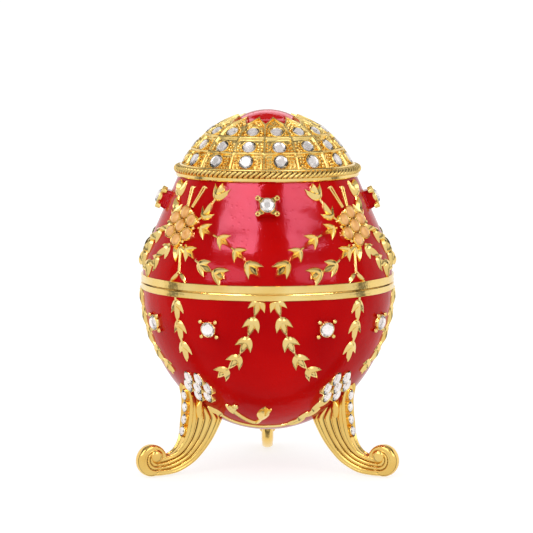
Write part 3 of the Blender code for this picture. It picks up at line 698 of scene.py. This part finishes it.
stones, foils, collars, beads = [bmesh.new() for _ in range(4)]
for polar, radius in zip(ROW_POLARS, ROW_RADII):
    half = pi * DOME_RADIUS * sin(radians(polar)) / COLUMNS - CELL_MARGIN
    for n in range(COLUMNS):
        azimuth = PHASE + 360 * n / COLUMNS + rng.uniform(-0.5, 0.5)
        matrix = dome_frame(azimuth, polar + rng.uniform(-0.3, 0.3))
        seat = matrix @ raised(-0.2)
        add_stone(stones, seat @ tilt(rng.random(), "Z"), radius, 0.42, 0.3)
        lean = tilt(rng.uniform(-0.09, 0.09), "X") @ tilt(rng.uniform(-0.09, 0.09), "Y")
        behind = seat @ raised(-FOIL_GAP) @ lean @ tilt(rng.random(), "Z")
        add_stone(foils, behind, 0.95 * radius, -0.08, 0.34)
        add_cup(collars, matrix, radius, -0.65, 0.02, 0.16, floor=-0.6)
        add_grains(beads, matrix, radius, half)
        if polar == ROW_POLARS[-1]:
            add_arch_grains(beads, matrix, half)
nodes = [f"dome_crystal_{n + 1}" for n in range(COLUMNS)]
finish_stones("dome_crystals", "dome_crystal_foils", stones, foils, nodes)
finish_piece("dome_collars", collars, gold_orange)
finish_piece("dome_beads", beads, gold_orange)

# Crystals on the lid's wall: enamelled blocks, gold frames and a ring bead at each corner
BLOCK_HALF = 1.95
BLOCK_PROUD = 1.7
BLOCK_PROFILE = ((BLOCK_HALF + 0.15, -0.7), (BLOCK_HALF, 0.2), (BLOCK_HALF - 0.15, BLOCK_PROUD - 0.5),
                 (BLOCK_HALF - 0.5, BLOCK_PROUD - 0.2))
FRAME_PINCH = 0.4
FRAME_PROFILE = ((1.5, BLOCK_PROUD - 0.5), (1.85, BLOCK_PROUD - 0.35), (1.95, BLOCK_PROUD - 0.1),
                 (1.85, BLOCK_PROUD), (1.5, BLOCK_PROUD))
RING_BEAD = ((0.16, -0.1), (0.26, 0.14), (0.4, 0.2), (0.54, 0.1), (0.58, -0.1), (0.5, -0.9), (0.16, -0.9))
LID_STONE_RADIUS = 1.5
FOIL_TURN = 0.3


def pinched_square(matrix, half, level, pinch, count=48):
    """Square outline whose sides bend inward between its corners."""
    ring = []
    for i in range(count):
        turn = 2 * pi * (i + 0.5) / count
        c, s = cos(turn), sin(turn)
        corner = abs(c * s) * 2
        reach = half / max(abs(c), abs(s)) * (1 - pinch * (1 - corner) ** 0.7)
        ring.append(matrix @ Vector((reach * c, reach * s, level)))
    return ring


stones, foils, mounts, blocks = [bmesh.new() for _ in range(4)]
for azimuth in (0, 90, 180, -90):
    matrix = surface_frame(lid_radius, azimuth, LID_CRYSTAL_Z)
    block = [pinched_square(matrix, half, level, 0.0) for half, level in BLOCK_PROFILE]
    add_grid(blocks, block, close_ends=True)
    border = [pinched_square(matrix, half, level, FRAME_PINCH) for half, level in FRAME_PROFILE]
    add_grid(mounts, border, close_ends=True)
    add_cup(mounts, matrix, LID_STONE_RADIUS, BLOCK_PROUD - 0.4, BLOCK_PROUD + 0.32, 0.14)
    seat = matrix @ raised(BLOCK_PROUD + 0.28)
    add_backed_stone(stones, foils, seat, LID_STONE_RADIUS, 0.6, 0.4, -0.1, 0.42, FOIL_TURN)
    for x in (-BLOCK_HALF, BLOCK_HALF):
        for y in (-0.9 * BLOCK_HALF, 0.82 * BLOCK_HALF):
            bead = matrix @ Matrix.Translation((x, y, BLOCK_PROUD + 0.05))
            add_turned(mounts, RING_BEAD, 16, bead, closed=True)
nodes = [f"lid_crystal_{side}" for side in ("front", "right", "back", "left")]
finish_stones("lid_crystals", "lid_crystal_foils", stones, foils, nodes)
finish_piece("lid_crystal_mounts", mounts, gold)
lid_blocks = finish_piece("lid_crystal_blocks", blocks, enamel)

# Crystals of the bowl, each in a thin rim with four separate beads
BOWL_STONE_RADIUS = 1.5
PRONG_SPOTS = [(x, y, 0.35) for x in (-1.72, 1.72) for y in (-1.55, 1.55)]
stones, foils, mounts = [bmesh.new() for _ in range(3)]
for azimuth in BOWL_CRYSTAL_AZIMUTHS:
    for matrix in frames_around(bowl_radius, azimuth, BOWL_CRYSTAL_Z):
        seat = matrix @ raised(0.72)
        add_backed_stone(stones, foils, seat, BOWL_STONE_RADIUS, 0.55, 0.42, -0.1, 0.44, FOIL_TURN)
        add_cup(mounts, matrix, BOWL_STONE_RADIUS, -0.3, 0.74, 0.16, floor=0.1)
        for spot in PRONG_SPOTS:
            add_ball(mounts, spot, 0.46, 1.1, 2, matrix)
nodes = [f"bowl_crystal_{n}" for n in range(1, 9)]
finish_stones("bowl_crystals", "bowl_crystal_foils", stones, foils, nodes)
finish_piece("bowl_crystal_mounts", mounts, gold)

# Peach flowers of the lid: seven flat-topped stones in thin cups with beads between
STATION_NAMES = ("front_right", "back_right", "front_left", "back_left")
PETAL_PITCH = 2.98
PETAL_PHASE = 28.0
PETAL_RADIUS = 1.27
PETAL_PROFILE = ((0, 0.78), (0.45 * PETAL_RADIUS, 0.74), (0.75 * PETAL_RADIUS, 0.6),
                 (0.94 * PETAL_RADIUS, 0.38), (PETAL_RADIUS, 0.1), (PETAL_RADIUS, -0.3), (0, -0.3))
# Reach, level, radius and detail of the beads between the petals
PETAL_BEADS = ((1.72, 0.75, 0.24, 1), (3.55, 0.2, 0.4, 2))
stones, mounts = bmesh.new(), bmesh.new()
for matrix in frames_around(lid_radius, LID_STATION, LID_FLOWER_Z):
    places = [(0, 0)]
    for k in range(6):
        turn = radians(PETAL_PHASE + 60 * k)
        places.append((PETAL_PITCH * cos(turn), PETAL_PITCH * sin(turn)))
        between = radians(PETAL_PHASE + 30 + 60 * k)
        for reach, level, radius, detail in PETAL_BEADS:
            spot = (reach * cos(between), reach * sin(between), level)
            add_ball(mounts, spot, radius, 1.0, detail, matrix)
    for x, y in places:
        sink = -(x * x + y * y) / 50
        seat = matrix @ Matrix.Translation((x, y, 0.6 + sink))
        add_turned(stones, PETAL_PROFILE, 32, seat)
        add_cup(mounts, seat, PETAL_RADIUS, -1.0, 0.46, 0.17, floor=-0.3)
nodes = [f"lid_flower_{station}" for station in STATION_NAMES]
finish_piece("lid_flower_stones", stones, peach, nodes)
finish_piece("lid_flower_cups", mounts, gold)

# Husks: a cap's reach, sweep and width, the tongue's width and the height
LID_HUSK = (1.85, 1.55, 1.6, 1.15, 0.9)
BELL_HUSK = (1.95, 2.3, 2.1, 1.9, 1.0)
BOWL_HUSK = (1.75, 2.0, 1.85, 1.5, 0.6)
LONGEST_TONGUE = 3.5
WIRE_WIDTH = 0.55
WIRE_HEIGHT = 0.45


def add_horn(bm, path, s, reach, sweep, width, height, steps=16):
    """Crescent across a path whose two tips sweep forward along it."""
    rows = []
    for i in range(steps + 1):
        t = 2 * i / steps - 1
        along, sideways = s + sweep * abs(t) ** 1.6, reach * t
        slope = copysign(1.6 * sweep * abs(t) ** 0.6, t)
        size = hypot(slope, reach)
        cross = (-reach / size, slope / size)
        half = width / 2 * (1 - abs(t) ** 1.7) ** 0.8 + 0.03
        lift = height * (0.25 + 0.75 * (1 - abs(t) ** 1.5))
        levels = domed(lambda q: lift * (1 - q ** 2.6) + 0.12 * lift * max(0, 1 - q * 3) - 0.04)
        rows.append([path.at(along + cross[0] * q * half, sideways + cross[1] * q * half, h)
                     for q, h in levels])
    add_grid(bm, rows, close_ends=True)


def add_husk(bm, path, s, kind, tongue):
    """Husk of a crescent cap with two swept tips and a tongue that leads on."""
    reach, sweep, width, tongue_width, height = kind
    add_horn(bm, path, s, reach, sweep, width, height)
    add_leaf(bm, path, (s + 0.1, 0), 0, tongue, tongue_width, 1.08 * height, 0.2)


def add_garland(bm, radius_at, knots, kinds, lead=0.6):
    """Husks at the knots but the first and last, on a thin wire; each tongue points to the next."""
    path = Path(radius_at, knots)
    places = path.marks[::KNOT_STEPS][1:-1]
    add_stem(bm, path, 0, places[-1], WIRE_WIDTH, WIRE_HEIGHT, steps=10 * len(knots))
    for i, (s, kind) in enumerate(zip(places, kinds)):
        ahead = places[i + 1] if i + 1 < len(places) else path.length
        add_husk(bm, path, s - lead, kind, min(LONGEST_TONGUE, ahead - s + 0.3))


def from_station(knots, mirror=False):
    """Knots measured from the station, on its front side or turned over to its other side."""
    return [(LID_STATION + (step if mirror else -step), z) for step, z in knots]


# Garlands of the lid, as degrees from the flower's station and heights
LONG_RUN = ((11.5, 51.9), (15.4, 51.6), (26.8, 49.8), (35.4, 47.4), (41.8, 44.8), (46.4, 42.5))
LOW_RUN = ((6.5, 48.4), (9.4, 47.2), (18.3, 44.6), (26.8, 43.1), (31.0, 42.1))
UP_RUN = ((9.5, 53.4), (13.8, 54.8), (19.4, 58.9), (21.8, 61.0))
RUNS = ((LONG_RUN, (LID_HUSK,) * 3 + (BELL_HUSK,)), (LOW_RUN, (LID_HUSK, BOWL_HUSK, BELL_HUSK)),
        (UP_RUN, (LID_HUSK, BELL_HUSK)))
SIDE_SHARE = 36.5 / 45
SPIKES = (((3.2, 55.8), (8.4, 60.1)), ((-0.6, 55.7), (-2.3, 59.9)))
SPIKE_HALF = 0.34
FORK_TOP = (5.6, 43.2)
ROD = ((3.5, 48.4), (5.1, 45.4), FORK_TOP)
FORK_FEET = (10.2, 0.9)


def add_spikes(bm):
    """Double rails that run up from each flower and end in a small knob."""
    for spike in SPIKES:
        for station in around(from_station(spike)):
            path = Path(lid_radius, station)
            for v in (-SPIKE_HALF, SPIKE_HALF):
                add_stem(bm, path, 0, path.length - 0.2, 0.34, 0.5, 0.5 * v, v, steps=16)
            add_leaf(bm, path, (path.length - 0.55, 0), 0, 1.0, 1.1, 0.55, 0, steps=8)


def add_forks(bm):
    """Rod down from each flower with two leaves, which parts in a fork above the rim."""
    for station in around(from_station(ROD)):
        path = Path(lid_radius, station)
        hand = -1 if station[0][0] > 0 else 1
        add_stem(bm, path, 0, path.length, 0.6, 0.5, steps=12)
        add_horn(bm, path, 0.7, 1.5, 2.3, 1.3, 0.75)
        add_leaf(bm, path, (0.2, 1.7 * hand), -12 * hand, 3.4, 1.2, 0.75)
    for foot in FORK_FEET:
        for station in around(from_station([FORK_TOP, (foot, LID_EDGE_TOP)])):
            path = Path(lid_radius, station)
            add_stem(bm, path, 0, path.length, 0.45, 0.45, steps=10)
            add_leaf(bm, path, (0.6, 0), 0, path.length - 0.5, 0.95, 0.6)


bm = bmesh.new()
for mirror in (False, True):
    squeeze = SIDE_SHARE if mirror else 1.0
    for run, kinds in RUNS:
        for station in around(from_station([(step * squeeze, z) for step, z in run], mirror)):
            add_garland(bm, lid_radius, station, kinds)
add_spikes(bm)
add_forks(bm)
finish_piece("lid_garlands", bm, gold)

# Garlands of the bowl and the sprigs beneath it, in degrees and heights
BOWL_TOP = PARTING - 1.2
SWAG = ((4.2, BOWL_TOP), (4.75, 36.5), (7.5, 32.4), (11.3, 28.4), (17.2, 24.8), (25.5, 22.2), (30.5, 21.0))
DROP = ((BOWL_STATION + 1, BOWL_TOP), (BOWL_STATION + 0.8, 35.4), (BOWL_STATION + 0.4, 31.2),
        (BOWL_STATION, 26.8), (BOWL_STATION, BOWL_FLOWER_Z + 3.2))
SPRIG = ((-29, 15.8), (-26.5, 13.7), (-22, 12.1), (-15.7, 11.15), (-10.4, 11.2), (-5.5, 12.2), (-2.6, 13.9),
         (-1.2, 15.9), (-0.6, 18.2))
SPRIG_BERRY = (-23.2, 15.1)
BUD_KNOT = 5
LINE = ((-50, 14.6), (-46, 12.9), (-41.4, 11.3), (-30, 10.4), (-15, 10.0), (0, 9.95), (20.6, 10.3),
        (31.5, 11.7), (37.0, 13.3), (42.0, 15.8), (44.0, 17.4))
# Start, aim, length and width of the bud's leaves
BUD_LEAVES = ((0.0, 0, 5.4, 2.6), (2.2, 30, 2.8, 1.3))
# Knot, distance past it, aim and length of the line's leaves
LINE_LEAVES = ((1, 0.0, 172, 2.6), (1, 0.9, -166, 2.4), (6, 1.0, 14, 3.6), (6, 3.4, -12, 3.2),
               (7, 1.6, 16, 3.6), (8, 0.6, -14, 3.4), (8, 2.4, 10, 3.4))


def add_sprig(bm, turn):
    """Curved stem with a leaf and a berry at its foot and a bud at its end."""
    path = Path(bowl_radius, [(az + turn, z) for az, z in SPRIG])
    bud = path.marks[KNOT_STEPS * BUD_KNOT] - 0.4
    add_stem(bm, path, 0.8, bud + 0.8, 0.85, 0.5, steps=24)
    add_leaf(bm, path, (3.6, 0.1), 174, 3.2, 1.6, 0.65)
    for start, aim, length, width in BUD_LEAVES:
        add_leaf(bm, path, (bud + start, 0), aim, length, width, 0.7)
    azimuth, z = SPRIG_BERRY
    add_ball(bm, (0, 0, 0.25), 0.72, 0.75, 2, surface_frame(bowl_radius, azimuth + turn, z))


def add_leaf_line(bm, turn):
    """Thin line under the bowl with leaves towards its ends."""
    path = Path(bowl_radius, [(az + turn, z) for az, z in LINE])
    add_stem(bm, path, path.marks[KNOT_STEPS], path.marks[-KNOT_STEPS - 1], 0.62, 0.42, steps=48)
    for knot, ahead, aim, length in LINE_LEAVES:
        add_leaf(bm, path, (path.marks[KNOT_STEPS * knot] + ahead, 0), aim, length, 1.35, 0.6)


bm = bmesh.new()
for knots in (SWAG, [(90 - az, z) for az, z in SWAG]):
    for station in around(knots):
        add_garland(bm, bowl_radius, station, (BOWL_HUSK,) * 5, 1.5)
for station in around(DROP):
    add_garland(bm, bowl_radius, station, (BOWL_HUSK,) * 3, 1.2)
for turn in (0, 120, 240):
    add_sprig(bm, turn)
    add_leaf_line(bm, turn)
finish_piece("bowl_garlands", bm, gold)

# Marquise flowers of the bowl: seven stones at each leg's top, tilted up to the light
PETALS = ((-1.45, 2.3), (1.35, 2.35), (-2.75, 0.0), (0, 0.05), (2.75, 0.1), (-1.5, -2.25), (1.25, -2.3))
MARQUISE_HALF = 0.95
MARQUISE_STRETCH = 1.58
MARQUISE_TAPER = 0.3
MARQUISE_TILT = -0.42
MARQUISE_TURN = 0.55
# Way that each flower is turned, in the order of its stations
MARQUISE_HANDS = (1, -1, -1, 1)
stones, foils, mounts = [bmesh.new() for _ in range(3)]
for hand, matrix in zip(MARQUISE_HANDS, frames_around(bowl_radius, BOWL_STATION, BOWL_FLOWER_Z)):
    for x, y in PETALS:
        sink = -(x * x + y * y) / 46
        tip = tilt(MARQUISE_TILT, "X") @ tilt(-hand * MARQUISE_TURN, "Z")
        seat = matrix @ Matrix.Translation((hand * x, y, sink)) @ tip
        stone = seat @ raised(0.62)
        add_backed_stone(stones, foils, stone, MARQUISE_HALF, 0.42, 0.34, -0.08, 0.35,
                         stretch=MARQUISE_STRETCH, taper=MARQUISE_TAPER)
        add_cup(mounts, seat, MARQUISE_HALF, -0.5, 0.64, 0.12, MARQUISE_STRETCH, MARQUISE_TAPER, 0.0)
nodes = [f"bowl_flower_{station}" for station in STATION_NAMES]
finish_stones("bowl_flower_stones", "bowl_flower_foils", stones, foils, nodes)
finish_piece("bowl_flower_cups", mounts, gold)

# Legs: fluted wedge with rails, whose flutes run on round the scroll as a spiral
LEG_OUTER = ((18.9, 19.9), (19.9, 18.3), (19.4, 15.6), (19.5, 12.6), (19.8, 10.4), (20.1, 8.6), (20.8, 6.8),
             (22.0, 5.3), (23.4, 4.5), (24.8, 4.2), (26.2, 4.0), (27.6, 3.9), (28.9, 3.6))
LEG_INNER = ((17.6, 18.4), (15.6, 15.4), (13.2, 13.2), (11.2, 11.5), (11.2, 10.7), (12.3, 8.6), (13.6, 6.6),
             (15.4, 4.5), (17.6, 2.5), (20.4, 1.0), (22.8, 0.35), (26.6, 0.2), (28.4, 0.6))
BAND_HALVES = (1.0, 2.0, 2.1, 2.1, 2.04, 1.8, 1.5, 1.3, 1.22, 1.2, 1.2, 1.15, 0.7)
KEEL_HALVES = (0.5, 0.9, 1.05, 1.1, 1.15, 1.15, 1.15, 1.15, 1.15, 1.15, 1.15, 1.15, 0.7)
FLUTE_SHARES = (0.0, 0.0, 0.2, 0.8, 1.0, 1.0, 1.0, 1.0, 1.0, 0.95, 0.85, 0.8, 0.8)
LEG_SMOOTHING = 9
FLUTES = 4
FLUTE_STEPS = 14
FLUTE_DEPTH = 0.5
RIM_SHARE = 0.84
KEEL_ROUNDING = 0.75
# Reach past the outer edge and inset from the side, over the rail and into the channel
RAIL_PROFILE = ((0.0, 0.1), (0.16, 0.26), (0.12, 0.42), (-0.1, 0.52), (-0.24, 0.62), (-0.26, 0.95))
SCROLL = Vector((27.6, 0, 3.5))
SCROLL_RADIUS = 3.33
SCROLL_HALF = 1.28
SCROLL_WIND = 0.84
SCROLL_SPREAD = 1.2
SCROLL_ROUND_FROM = 0.72
SCROLL_RINGS = 44
SCROLL_STEPS = 120
EYE = Vector((26.9, 0, 4.5))
EYE_RADIUS = 1.42
LEG_LEAF_BASE = Vector((17.5, 1.95, 11.9))
LEG_LEAF_TIP = Vector((16.9, 1.8, 15.8))
LEG_LEAF_HALF = 1.0
RIDGE_LEVELS = (16.6, 14.05, 11.45, 9.0)
RIDGE_HALF = 0.8
RIDGE_STRETCH = 1.42
RIDGE_TAPER = 0.25


def flute_dip(share):
    """Depth below the flutes' rounded tops, from 0 to 1, with narrow deep grooves between them."""
    if not 0 < share < 1:
        return 0.0
    return (1 - abs(sin(pi * FLUTES * share)) ** 0.5) * min(1, share * 12, (1 - share) * 12)


def leg_ring(row):
    """Closed section across the leg as points with their groove depths, from one keel side to the other."""
    outer, inner = Vector((row[0], 0, row[1])), Vector((row[2], 0, row[3]))
    outer_half, inner_half, flute = row[4:]
    rail = (outer - inner).normalized()
    side = []
    count = FLUTES * FLUTE_STEPS
    for i in range(count, -1, -1):
        share = i / count
        dip = flute * flute_dip(share / RIM_SHARE)
        half = outer_half + (inner_half - outer_half) * share - FLUTE_DEPTH * dip
        edge = KEEL_ROUNDING * (max(0, share - RIM_SHARE) / (1 - RIM_SHARE)) ** 2.5
        side.append((outer + (inner - outer) * (0.05 + 0.95 * share), half - edge, dip))
    for reach, inset in RAIL_PROFILE:
        inset = min(inset, 0.9 * outer_half)
        side.append((outer + rail * reach, outer_half - inset, 0.0))
    ring = [(middle + Vector((0, half, 0)), dip) for middle, half, dip in side]
    return ring + [(middle - Vector((0, half, 0)), dip) for middle, half, dip in reversed(side)]


def scroll_point(part, turn, flip):
    """Point of the scroll's side and its groove depth, part of the way from the eye's middle to the rim."""
    offset = EYE - SCROLL
    along = offset.x * cos(turn) + offset.z * sin(turn)
    rim = sqrt(along ** 2 - offset.length_squared + SCROLL_RADIUS ** 2) - along
    wound = ((turn + pi / 2) % (2 * pi)) / (2 * pi)
    wind = wound if wound < 0.85 else wound - 1
    dip = flute_dip((1 - SCROLL_SPREAD * (1 - part) + SCROLL_WIND * wind) / RIM_SHARE)
    rounding = max(0, part - SCROLL_ROUND_FROM) / (1 - SCROLL_ROUND_FROM)
    half = SCROLL_HALF - 0.8 * FLUTE_DEPTH * dip
    if wound > 0.77:
        half -= 0.4 * min(1, (wound - 0.77) / 0.08) * min(1, (1 - wound) / 0.1)
    half *= 0.3 + 0.7 * sqrt(max(0, 1 - rounding ** 2))
    return EYE + Vector((part * rim * cos(turn), flip * half, part * rim * sin(turn))), dip


def outer_at(z):
    """Point of the leg's outer edge at a height."""
    for (x0, z0), (x1, z1) in zip(LEG_OUTER, LEG_OUTER[1:]):
        if z1 <= z:
            return Vector((x0 + (x1 - x0) * (z0 - z) / (z0 - z1), 0, z))
    return Vector((LEG_OUTER[-1][0], 0, z))


def add_grooved_grid(bm, place, loops):
    """Closed skin through loops of points and groove depths, which the gold's colour reads as painted shade
    in the grooves.
    """
    groove = bm.verts.layers.float["groove"]
    verts = add_grid(bm, [[place @ point for point, _ in loop] for loop in loops], close_ends=True)
    for made, loop in zip(verts, loops):
        for vert, (_, dip) in zip(made, loop):
            vert[groove] = dip


def add_leg_leaf(bm, place, flip):
    """Small leaf on a side of the flutes, just under the flower."""
    side = Vector((1, flip, 1))
    ahead = (LEG_LEAF_TIP - LEG_LEAF_BASE).normalized()
    cross = Vector((ahead.z, 0, -ahead.x))
    rows = []
    for i in range(9):
        u = i / 8
        middle = LEG_LEAF_BASE.lerp(LEG_LEAF_TIP, u) * side
        half = LEG_LEAF_HALF * sin(pi * (0.12 + 0.86 * u)) ** 0.8
        row = [middle + cross * half * cos(a) + Vector((0, flip * 0.6 * sin(a), 0))
               for a in (pi * k / 6 for k in range(7))]
        row += [middle + cross * half * q - Vector((0, flip * 0.8, 0)) for q in (-0.8, 0.8)]
        rows.append([place @ point for point in row])
    add_grid(bm, rows, close_ends=True)


def make_leg_casting(side_name, place):
    """Wedge, scroll, the scroll's eyes and the leaves in one piece."""
    bm = bmesh.new()
    bm.verts.layers.float.new("groove")
    rows = [[*outer, *inner, band, keel, flute] for outer, inner, band, keel, flute in
            zip(LEG_OUTER, LEG_INNER, BAND_HALVES, KEEL_HALVES, FLUTE_SHARES)]
    add_grooved_grid(bm, place, [leg_ring(row) for row in smooth_rows(rows, LEG_SMOOTHING)])
    parts = [k / SCROLL_RINGS for k in range(1, SCROLL_RINGS + 1)]
    turns = [2 * pi * i / SCROLL_STEPS for i in range(SCROLL_STEPS)]
    sides = [(part, 1) for part in parts] + [(part, -1) for part in reversed(parts)]
    add_grooved_grid(bm, place, [[scroll_point(part, turn, flip) for turn in turns] for part, flip in sides])
    flat = Matrix.Scale(0.62, 4, Vector((0, 1, 0)))
    for flip in (1, -1):
        spot = EYE + Vector((0, flip * (SCROLL_HALF - 0.25), 0))
        add_ball(bm, (0, 0, 0), EYE_RADIUS, 1.0, 3, place @ Matrix.Translation(spot) @ flat)
    for flip in (1, -1):
        add_leg_leaf(bm, place, flip)
    finish_piece(f"leg_{side_name}_casting", bm, gold_leg, [f"leg_{side_name}"], 55)


def make_leg_stones(side_name, place):
    """Four marquise stones down the channel of the outer edge."""
    stones, foils, mounts = [bmesh.new() for _ in range(3)]
    for level in RIDGE_LEVELS:
        one, two = [outer_at(level + way * RIDGE_STRETCH * RIDGE_HALF) for way in (1, -1)]
        along = (one - two).normalized()
        normal = Vector((along.z, 0, -along.x))
        matrix = Matrix((Vector((0, 1, 0)), along, normal)).transposed().to_4x4()
        matrix.translation = (one + two) / 2 - normal * 0.2
        matrix = place @ matrix
        stone = matrix @ raised(0.5)
        add_backed_stone(stones, foils, stone, RIDGE_HALF, 0.42, 0.3, -0.08, 0.3,
                         stretch=RIDGE_STRETCH, taper=RIDGE_TAPER)
        add_cup(mounts, matrix, RIDGE_HALF, -0.3, 0.52, 0.12, RIDGE_STRETCH, RIDGE_TAPER, 0.05)
    nodes = [f"leg_{side_name}_crystal_{n}" for n in range(1, 5)]
    finish_stones(f"leg_{side_name}_stones", f"leg_{side_name}_foils", stones, foils, nodes)
    finish_piece(f"leg_{side_name}_cups", mounts, gold)


for side_name, azimuth in (("left", -60), ("right", 60), ("back", 180)):
    place = tilt(radians(azimuth - 90), "Z")
    make_leg_casting(side_name, place)
    make_leg_stones(side_name, place)

# Floor, pale and softly lit
bpy.ops.mesh.primitive_plane_add(size=14, location=(0, 3, 0))
floor = bpy.context.object
floor.name = "floor"
pale, tree, shader, coords = node_material("pale_floor")
set_inputs(shader, {"Base Color": (0.35, 0.35, 0.35, 1), "Roughness": 0.7, "Specular IOR Level": 0.1,
                    "Emission Color": (1, 1, 1, 1), "Emission Strength": 0.7})
floor.data.materials.append(pale)
floor.visible_glossy = False

# Camera at the photograph's view: millimetres a pixel at the egg's axis, and the axis in the frame
PIXEL = 0.2086
FRAME_PIXELS = 533
VIEW_CENTRE = (267.5, 272.0)
DISTANCE = 743.0
ELEVATION = radians(6.3)
AIM = Vector((0, AXIS_Y, 41.0))
SENSOR_WIDTH = 36
camera_data = bpy.data.cameras.new("camera")
camera = bpy.data.objects.new("camera", camera_data)
scene.collection.objects.link(camera)
camera.location = (AIM + DISTANCE * Vector((0, -cos(ELEVATION), sin(ELEVATION)))) * MM
camera.rotation_euler = (pi / 2 - ELEVATION, 0, 0)
camera_data.sensor_width = SENSOR_WIDTH
camera_data.lens = SENSOR_WIDTH * DISTANCE / (FRAME_PIXELS * PIXEL)
camera_data.shift_x = (FRAME_PIXELS / 2 - VIEW_CENTRE[0]) / FRAME_PIXELS
camera_data.shift_y = (VIEW_CENTRE[1] - FRAME_PIXELS / 2) / FRAME_PIXELS
camera_data.clip_start = 0.01
scene.camera = camera


# Lights: softboxes, of which the sheens light the enamel alone
def add_area(name, azimuth, elevation, size, size_y, radiance, colour=(1, 1, 1), receivers=None):
    """Softbox one metre from the egg, seen from it at an azimuth from the camera's side."""
    turn, lift = radians(azimuth), radians(elevation)
    away = Vector((sin(turn) * cos(lift), -cos(turn) * cos(lift), sin(lift)))
    light_data = bpy.data.lights.new(name, "AREA")
    light_data.shape = "RECTANGLE"
    light_data.size = size
    light_data.size_y = size_y
    light_data.energy = radiance * pi * size * size_y
    light_data.color = colour
    light = bpy.data.objects.new(name, light_data)
    scene.collection.objects.link(light)
    light.location = away + Vector((0, 0, 0.05))
    light.rotation_euler = away.to_track_quat("Z", "Y").to_euler()
    light.visible_camera = False
    if receivers:
        light.light_linking.receiver_collection = receivers
        light.visible_diffuse = False


def group(name, pieces):
    collection = bpy.data.collections.new(name)
    for piece in pieces:
        collection.objects.link(piece)
    return collection


enamelled = group("enamelled", (bowl, lid, lid_blocks))
crowned = group("crowned", (cap,))
add_area("sheen_left", -36, 47, 0.66, 0.38, 52.0, receivers=enamelled)
add_area("sheen_right", 46, 47, 0.62, 0.36, 38.0, receivers=enamelled)
add_area("sheen_low_left", -38, 12, 0.7, 0.3, 20.0, receivers=enamelled)
add_area("sheen_low_right", 44, 12, 0.7, 0.3, 16.0, receivers=enamelled)
add_area("sheen_top", 180, 34, 0.9, 0.4, 3.6, (1.0, 0.72, 0.84), crowned)
add_area("key_left", -34, 40, 0.6, 0.6, 2.0)
add_area("key_right", 38, 36, 0.5, 0.6, 1.6)

# World: white for the camera and for soft light, with darker parts in reflections only
DEPTH_GREYS = ((-1.0, 0.9), (-0.05, 0.84), (0.05, 0.12), (0.14, 0.12), (0.25, 1.0), (1.0, 1.0))
HEIGHT_GREYS = ((-1.0, 0.95), (0.55, 1.0), (0.66, 0.04), (0.74, 0.04), (0.84, 0.6), (1.0, 0.6))
STONE_SHARE = -0.6
world = bpy.data.worlds.new("studio")
scene.world = world
world.use_nodes = True
tree = world.node_tree
background = tree.nodes["Background"]
direction = tree.nodes.new("ShaderNodeTexCoord")
split = tree.nodes.new("ShaderNodeSeparateXYZ")
join(tree, direction, "Generated", split, "Vector")


def add_world_ramp(axis, greys):
    """Grey levels along an axis of the view direction, from -1 to 1."""
    remap = tree.nodes.new("ShaderNodeMapRange")
    remap.inputs["From Min"].default_value = -1.0
    join(tree, split, axis, remap, "Value")
    stops = [((place + 1) / 2, (level,) * 3) for place, level in greys]
    return add_ramp(tree, remap.outputs["Result"], stops)


depth = add_world_ramp("Y", DEPTH_GREYS)
height = add_world_ramp("Z", HEIGHT_GREYS)
product = add_mix(tree)
product.blend_type = "MULTIPLY"
product.inputs["Factor"].default_value = 1.0
join(tree, depth, "Color", product, "A")
join(tree, height, "Color", product, "B")
rays = tree.nodes.new("ShaderNodeLightPath")
mix = add_mix(tree)
# Rays that came through a stone see more of the white, so the stones look bright
through = tree.nodes.new("ShaderNodeMath")
through.operation = "MULTIPLY_ADD"
through.use_clamp = True
join(tree, rays, "Is Transmission Ray", through, 0)
through.inputs[1].default_value = STONE_SHARE
join(tree, rays, "Is Glossy Ray", through, 2)
join(tree, through, "Value", mix, "Factor")
mix.inputs["A"].default_value = (1, 1, 1, 1)
join(tree, product, "Result", mix, "B")
join(tree, mix, "Result", background, "Color")
background.inputs["Strength"].default_value = 1.0
scene.view_settings.view_transform = "Standard"
scene.view_settings.look = "None"

# Bring the scene up to date
bpy.context.view_layer.update()
